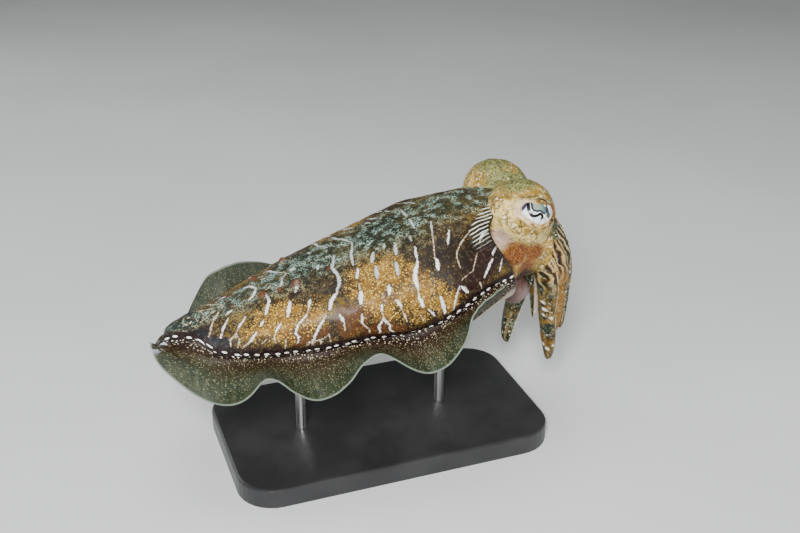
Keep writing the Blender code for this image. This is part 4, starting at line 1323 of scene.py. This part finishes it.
    colour, height = grained(colour, 0.0007, 0.30)
    feed(shader, "Base Color", colour)
    feed(shader, "Roughness", ease(fine, 0.35, 0.70, 0.36, 0.55))
    raised = height * 0.35 + fine * 1.6
    raised = raised + calc("MAXIMUM", flecks, beads) * 0.7
    bump(shader, raised, 0.0005)
    return material


head_nodes = [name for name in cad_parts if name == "head" or name.startswith("arm_")]
head = bpy.data.objects.new("head_and_arms", head_and_arms_mesh())
dress(head, (head_material(),), head_nodes)


# The eyes: a wet ball in each socket. The iris is painted on it: a white ring, the dark curve of the slit
# pupil with its white borders, and the sea-green shade under the upper lid.

# The slit and the thin line inside it, read in the photograph, as pixels on the right eye. Both start
# under the upper lid.
SLIT_IN_PHOTO = (
    (527.5, 201.5), (528.5, 204.5), (528.5, 208), (529.5, 212), (532, 215.5), (535, 216), (537.5, 215.5),
    (540, 214), (541.5, 214.5), (542.5, 216.5), (542, 218),
)
INNER_LINE_IN_PHOTO = (
    (531, 201.5), (531.5, 204.5), (532, 208), (534, 210.5), (537.5, 211.5), (540.5, 211), (543, 213),
    (544.5, 214),
)
EYE_AROUND, EYE_RINGS = 144, 96
PATH_STEPS = 12
SHADE_GREEN = (0.170, 0.210, 0.190)
SHADE_PALE = (0.270, 0.310, 0.250)
SHADE_SEA = (0.045, 0.130, 0.125)
SHADE_DEEP = (0.010, 0.028, 0.030)
INNER_BLACK = (0.006, 0.012, 0.016)
PUPIL_BLACK = (0.002, 0.002, 0.003)


def on_eye(pixel):
    """Where a pixel of the photograph lies on the right eye, in mm to the front and up across it."""
    centre, _, fore, up = eye_axes(-1)
    line = sight_line(pixel)
    foot = CAMERA_PLACE + line * (centre - CAMERA_PLACE).dot(line) - centre
    spot = foot - line * math.sqrt(EYEBALL_RADIUS ** 2 - foot.length_squared)
    return spot.dot(fore) * 1000, spot.dot(up) * 1000


def smooth_path(pixels):
    """Points on a smooth curve through the places that the pixels have on the eye."""
    points = [on_eye(pixel) for pixel in pixels]
    count = (len(points) - 1) * PATH_STEPS
    xs = [(i, x) for i, (x, _) in enumerate(points)]
    ys = [(i, y) for i, (_, y) in enumerate(points)]
    return [Vector((along(xs, i / PATH_STEPS), along(ys, i / PATH_STEPS))) for i in range(count + 1)]


def eyeball_mesh(side, name):
    centre, outward, fore, up = eye_axes(side)
    paths = {"slit": smooth_path(SLIT_IN_PHOTO), "inner_line": smooth_path(INNER_LINE_IN_PHOTO)}
    bm = bmesh.new()
    layers = {label: bm.verts.layers.float.new(label) for label in ("fore", "up", *paths)}
    bmesh.ops.create_uvsphere(bm, u_segments=EYE_AROUND, v_segments=EYE_RINGS, radius=EYEBALL_RADIUS)
    for vert in bm.verts:
        across, raised, ahead = vert.co.x, vert.co.y, vert.co.z
        spot = Vector((across * 1000, raised * 1000))
        vert[layers["fore"]], vert[layers["up"]] = spot
        for label, path in paths.items():
            i = min(range(1, len(path)), key=lambda i: (path[i] - spot).length_squared)
            way, away = path[i] - path[i - 1], spot - path[i]
            distance = math.copysign(away.length, way.x * away.y - way.y * away.x)
            vert[layers[label]] = distance if ahead > 0 else -20.0
        vert.co = centre + fore * across + up * raised + outward * ahead
    bmesh.ops.recalc_face_normals(bm, faces=bm.faces)
    for face in bm.faces:
        face.smooth = True
    mesh = bpy.data.meshes.new(name)
    bm.to_mesh(mesh)
    bm.free()
    return mesh


def eye_material():
    wet = {"Coat Weight": 0.35, "Coat Roughness": 0.03, "Coat IOR": 1.38, "Specular IOR Level": 0.12}
    material, tree, shader = fresh_material("eye_gloss", 0.40, wet)
    here = object_place(tree)
    fore, up, slit, inner = (attribute(tree, name) for name in ("fore", "up", "slit", "inner_line"))
    fine = clouds(here, 0.0016, 3.0)
    finest = clouds(here, 0.0006, 2.0)

    def patch(x, y, wide, high, lean=0.0, edge=0.25):
        dx, dy = fore - x, up - y
        cosine, sine = math.cos(math.radians(lean)), math.sin(math.radians(lean))
        a = dx * (cosine / wide) + dy * (sine / wide)
        b = dy * (cosine / high) - dx * (sine / high)
        away = calc("SQRT", a * a + b * b)
        away = away + (fine - 0.5) * 0.5
        return ease(away, 1.0 + edge, 1.0 - edge)

    colour = blend(ease(fine, 0.35, 0.65), (0.50, 0.50, 0.58), (0.92, 0.92, 0.90))
    colour = blend(patch(-0.6, -4.6, 2.0, 0.9), colour, (0.42, 0.50, 0.46))
    shade = ease(inner, -0.10, 0.15) * ease(fore, 2.1, 1.7)
    shade_tone = blend(ease(finest, 0.35, 0.65), SHADE_GREEN, SHADE_PALE)
    shade_tone = blend(ease(fore, -1.6, 1.6), shade_tone, SHADE_SEA)
    shade_tone = blend(ease(inner, 1.1, 0.3), shade_tone, SHADE_DEEP)
    colour = blend(shade, colour, shade_tone)
    colour = blend(ease(calc("ABSOLUTE", inner), 0.50, 0.28), colour, INNER_BLACK)
    colour = blend(patch(3.2, -0.2, 1.5, 2.7, 12.0), colour, (0.006, 0.010, 0.030))
    colour = blend(patch(3.9, -3.0, 1.6, 1.7, 10.0), colour, (0.060, 0.085, 0.060))
    colour = blend(patch(3.9, 2.6, 0.9, 0.6), colour, (0.200, 0.060, 0.030))
    colour = blend(patch(-8.6, 3.8, 0.75, 3.0, -38.0), colour, (0.030, 0.024, 0.060))
    pupil = ease(calc("ABSOLUTE", slit), 0.88, 0.66)
    colour = blend(pupil, colour, PUPIL_BLACK)
    reach = calc("SQRT", fore * fore + up * up)
    colour = blend(ease(reach, 9.9, 10.8), colour, (0.36, 0.28, 0.16))
    feed(shader, "Base Color", colour)
    bump(shader, fine, 0.00006)
    return material


eye_finish = eye_material()
for eye_name, eye_side in (("eye_left", 1), ("eye_right", -1)):
    eye = bpy.data.objects.new(eye_name + "_ball", eyeball_mesh(eye_side, eye_name + "_ball"))
    dress(eye, (eye_finish,), [eye_name])


# The funnel: the soft tube under the head that the animal blows water through. It is cast in one piece with
# a rounded lip, and its root lies between the head and the mantle.

FUNNEL_BASE = HEAD + Vector((-0.010, -0.002, -0.036))
FUNNEL_MOUTH = HEAD + Vector((0.0070, -0.0080, -0.0575))
FUNNEL_RADII = (0.0130, 0.0078)
FUNNEL_WALL = 0.0014
FUNNEL_DEPTH = 0.011
FUNNEL_AROUND, FUNNEL_RINGS = 72, 72


def funnel_mesh():
    way = FUNNEL_MOUTH - FUNNEL_BASE
    length = way.length
    way.normalize()
    side = Vector((0.0, 1.0, 0.0)).cross(way).normalized()
    other = way.cross(side)
    bore = FUNNEL_RADII[1] - FUNNEL_WALL
    ahead = ((0, 0.0), (1, 0.0), (3, 0.35 * length), (5, 0.7 * length), (8, length),
             (8.6, length + 0.5 * FUNNEL_WALL), (9.2, length),
             (11, length - FUNNEL_DEPTH), (12, length - FUNNEL_DEPTH))
    radii = ((0, 0.0), (1, 0.85 * FUNNEL_RADII[0]), (3, 0.93 * FUNNEL_RADII[0]), (5, 0.76 * FUNNEL_RADII[0]),
             (8, FUNNEL_RADII[1]), (8.6, bore + 0.5 * FUNNEL_WALL), (9.2, bore), (11, 0.80 * bore), (12, 0.0))
    bm = bmesh.new()
    lip = bm.verts.layers.float.new("lip")
    bmesh.ops.create_uvsphere(bm, u_segments=FUNNEL_AROUND, v_segments=FUNNEL_RINGS, radius=1.0)
    for vert in bm.verts:
        ring = math.acos(-min(max(vert.co.z, -1.0), 1.0)) / math.pi * 12
        angle = math.atan2(vert.co.y, vert.co.x)
        wave = 1 + 0.035 * math.sin(3 * angle + 0.8) * eased(ring, 4.0, 8.0)
        radius = along(radii, ring) * wave
        vert[lip] = ring / 12
        vert.co = FUNNEL_BASE + way * along(ahead, ring) + side * (radius * math.cos(angle)) + other * (
            radius * math.sin(angle))
    bmesh.ops.recalc_face_normals(bm, faces=bm.faces)
    for face in bm.faces:
        face.smooth = True
    mesh = bpy.data.meshes.new("funnel_tube")
    bm.to_mesh(mesh)
    bm.free()
    return mesh


def funnel_material():
    material, tree, shader = fresh_material("funnel_skin", 0.32, WET_SKIN)
    here = object_place(tree)
    lip = attribute(tree, "lip")
    cloud = clouds(here, 0.006, 3.0)
    colour = blend(ease(lip, 0.35, 0.62), (0.10, 0.030, 0.020), (0.170, 0.115, 0.105))
    colour = blend(ease(cloud, 0.45, 0.65, 0.0, 0.5), colour, (0.20, 0.17, 0.18))
    freckles = ease(cells(here, 0.0012), 0.30, 0.15) * ease(cloud, 0.40, 0.55)
    colour = blend(freckles * 0.6, colour, (0.12, 0.055, 0.035))
    # Inside the bore the tube is painted near-black: painted shade in the hollow.
    colour = blend(ease(lip, 0.74, 0.80), colour, (0.030, 0.018, 0.018))
    colour, height = grained(colour, 0.0006, 0.25)
    feed(shader, "Base Color", colour)
    bump(shader, height, 0.00025)
    return material


funnel = bpy.data.objects.new("funnel_tube", funnel_mesh())
dress(funnel, (funnel_material(),), ["funnel"])


# The suckers: four close rows of small muscular cups down the inner face of every arm, larger in the middle
# rows and smaller to the tip. Each is a short cone with a raised ring and a hollow, its foot sunk in the arm.

SUCKERS_LONG = 26
SUCKER_ROWS = (-0.66, -0.23, 0.23, 0.66)
SUCKER_SIDES = 8


def sucker_form():
    """One cup of radius 1, standing on the origin along +Z."""
    bm = bmesh.new()
    bmesh.ops.create_cone(bm, cap_ends=True, segments=SUCKER_SIDES, radius1=0.62, radius2=1.0, depth=1.3)
    top = [face for face in bm.faces if face.normal.z > 0.9]
    for face in [face for face in bm.faces if face.normal.z < -0.9]:
        bm.faces.remove(face)
    bmesh.ops.inset_region(bm, faces=top, thickness=0.34, depth=0.0)
    bmesh.ops.inset_region(bm, faces=top, thickness=0.12, depth=-0.45)
    mesh = bpy.data.meshes.new("sucker")
    bm.to_mesh(mesh)
    bm.free()
    return mesh


def suckers_mesh():
    form = sucker_form()
    count = len(form.vertices)
    whole = bmesh.new()
    for arm in ARMS:
        bm = bmesh.new()
        for i in range(SUCKERS_LONG):
            for row, offset in enumerate(SUCKER_ROWS):
                share = 0.13 + 0.85 * (i + 0.5 * (row % 2)) / SUCKERS_LONG
                taper = arm_taper(arm, share)
                inner = 1 - ARM_INNER * taper
                spread = arm.half_angle * taper * 0.92
                left, right = (crown_point(arm, share, arm.place + way * spread, inner) for way in (-1, 1))
                radius = 0.105 * (right - left).length * (1.12 if row in (1, 2) else 0.88)
                place_round = arm.place + offset * spread
                root = crown_point(arm, share, place_round, inner)
                inward = (crown_point(arm, share, place_round, inner - 0.1) - root).normalized()
                bm.from_mesh(form)
                bm.verts.ensure_lookup_table()
                turn = inward.to_track_quat("Z", "Y").to_matrix().to_4x4()
                move = Matrix.Translation(root + inward * (0.15 * radius)) @ turn @ Matrix.Scale(radius, 4)
                bmesh.ops.transform(bm, matrix=move, verts=bm.verts[-count:])
        part = bpy.data.meshes.new("arm_suckers")
        bm.to_mesh(part)
        bm.free()
        whole.from_mesh(part)
        bpy.data.meshes.remove(part)
    for face in whole.faces:
        face.smooth = True
    mesh = bpy.data.meshes.new("suckers")
    whole.to_mesh(mesh)
    whole.free()
    return mesh


def sucker_material():
    material, tree, shader = fresh_material("sucker_flesh", 0.34, WET_SKIN)
    here = object_place(tree)
    cloud = clouds(here, 0.002, 3.0)
    colour = blend(ease(cloud, 0.4, 0.65), (0.46, 0.38, 0.28), (0.70, 0.62, 0.50))
    feed(shader, "Base Color", colour)
    bump(shader, cloud, 0.0001)
    return material


suckers = bpy.data.objects.new("suckers", suckers_mesh())
dress(suckers, (sucker_material(),), [])


# The stand: a lacquered board with rounded corners, and two brushed steel rods set in it. These are the
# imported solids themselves, with their finishes renewed.


def base_material():
    material, tree, shader = fresh_material("base_paint", 0.45, {"Coat Weight": 0.2, "Coat Roughness": 0.3})
    here = object_place(tree)
    cloud = clouds(here, 0.030, 4.0)
    orange_peel = clouds(here, 0.0011, 2.0)
    colour = blend(ease(cloud, 0.35, 0.70), (0.012, 0.012, 0.013), (0.020, 0.020, 0.021))
    feed(shader, "Base Color", colour)
    feed(shader, "Roughness", ease(cloud, 0.3, 0.7, 0.38, 0.52))
    bump(shader, orange_peel, 0.00008)
    return material


# Lines and lengths of the rods' brushing to a metre.
BRUSH_LINES, BRUSH_LENGTHS = 1500.0, 60.0


def rod_material():
    material, tree, shader = fresh_material("rod_steel", 0.30, {"Metallic": 1.0})
    here = object_place(tree)
    across, forward, upward = (step(tree, "SeparateXYZ", {0: here}, axis) for axis in range(3))
    lines = place(across * BRUSH_LINES, forward * BRUSH_LINES, upward * BRUSH_LENGTHS)
    brushed = step(tree, "TexNoise", {"Vector": lines, "Scale": 1.0, "Detail": 3.0}, "Fac")
    colour = blend(ease(brushed, 0.3, 0.7), (0.50, 0.50, 0.51), (0.66, 0.66, 0.66))
    feed(shader, "Base Color", colour)
    feed(shader, "Roughness", ease(brushed, 0.3, 0.7, 0.24, 0.40))
    bump(shader, brushed, 0.00005)
    return material


base_finish, rod_finish = base_material(), rod_material()
for node_name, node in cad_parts.items():
    if node_name.startswith("stand_"):
        node.material_slots[0].material = base_finish if node_name == "stand_base" else rod_finish


# The room: a pale seamless floor, large soft lamps, and the camera at the photograph's angle.

FLOOR_HALF = 3.0


def floor_material():
    material, tree, shader = fresh_material("floor_pale", 0.75)
    cloud = clouds(object_place(tree), 0.35, 3.0)
    colour = blend(ease(cloud, 0.35, 0.65), (0.56, 0.57, 0.57), (0.60, 0.61, 0.61))
    feed(shader, "Base Color", colour)
    return material


floor_form = bmesh.new()
bmesh.ops.create_grid(floor_form, x_segments=4, y_segments=4, size=FLOOR_HALF)
floor_mesh = bpy.data.meshes.new("floor")
floor_form.to_mesh(floor_mesh)
floor_form.free()
floor_mesh.materials.append(floor_material())
floor = bpy.data.objects.new("floor", floor_mesh)
bpy.context.scene.collection.objects.link(floor)


def lamp(name, place, size, power):
    light = bpy.data.lights.new(name, "AREA")
    light.shape = "DISK"
    light.size = size
    light.energy = power
    obj = bpy.data.objects.new(name, light)
    obj.location = place
    obj.rotation_mode = "QUATERNION"
    obj.rotation_quaternion = (CAMERA_AIM - Vector(place)).to_track_quat("-Z", "Y")
    bpy.context.scene.collection.objects.link(obj)


lamp("key_lamp", (-0.40, -0.85, 0.75), 0.35, 29.0)
lamp("top_lamp", (-0.05, 0.15, 1.10), 0.60, 4.0)
lamp("fill_lamp", (0.95, -0.35, 0.50), 0.60, 3.0)
lamp("back_lamp", (-0.70, 0.85, 0.60), 0.60, 4.0)

world = bpy.data.worlds.new("room")
bpy.context.scene.world = world
world.use_nodes = True
world.node_tree.nodes["Background"].inputs["Color"].default_value = (0.86, 0.90, 0.92, 1.0)
world.node_tree.nodes["Background"].inputs["Strength"].default_value = 0.17

camera_data = bpy.data.cameras.new("camera")
camera_data.lens = CAMERA_LENS
camera_data.sensor_width = CAMERA_SENSOR
camera_data.clip_start = 0.01
camera = bpy.data.objects.new("camera", camera_data)
camera.location = CAMERA_PLACE
camera.rotation_mode = "QUATERNION"
camera.rotation_quaternion = CAMERA_TURN
bpy.context.scene.collection.objects.link(camera)
bpy.context.scene.camera = camera
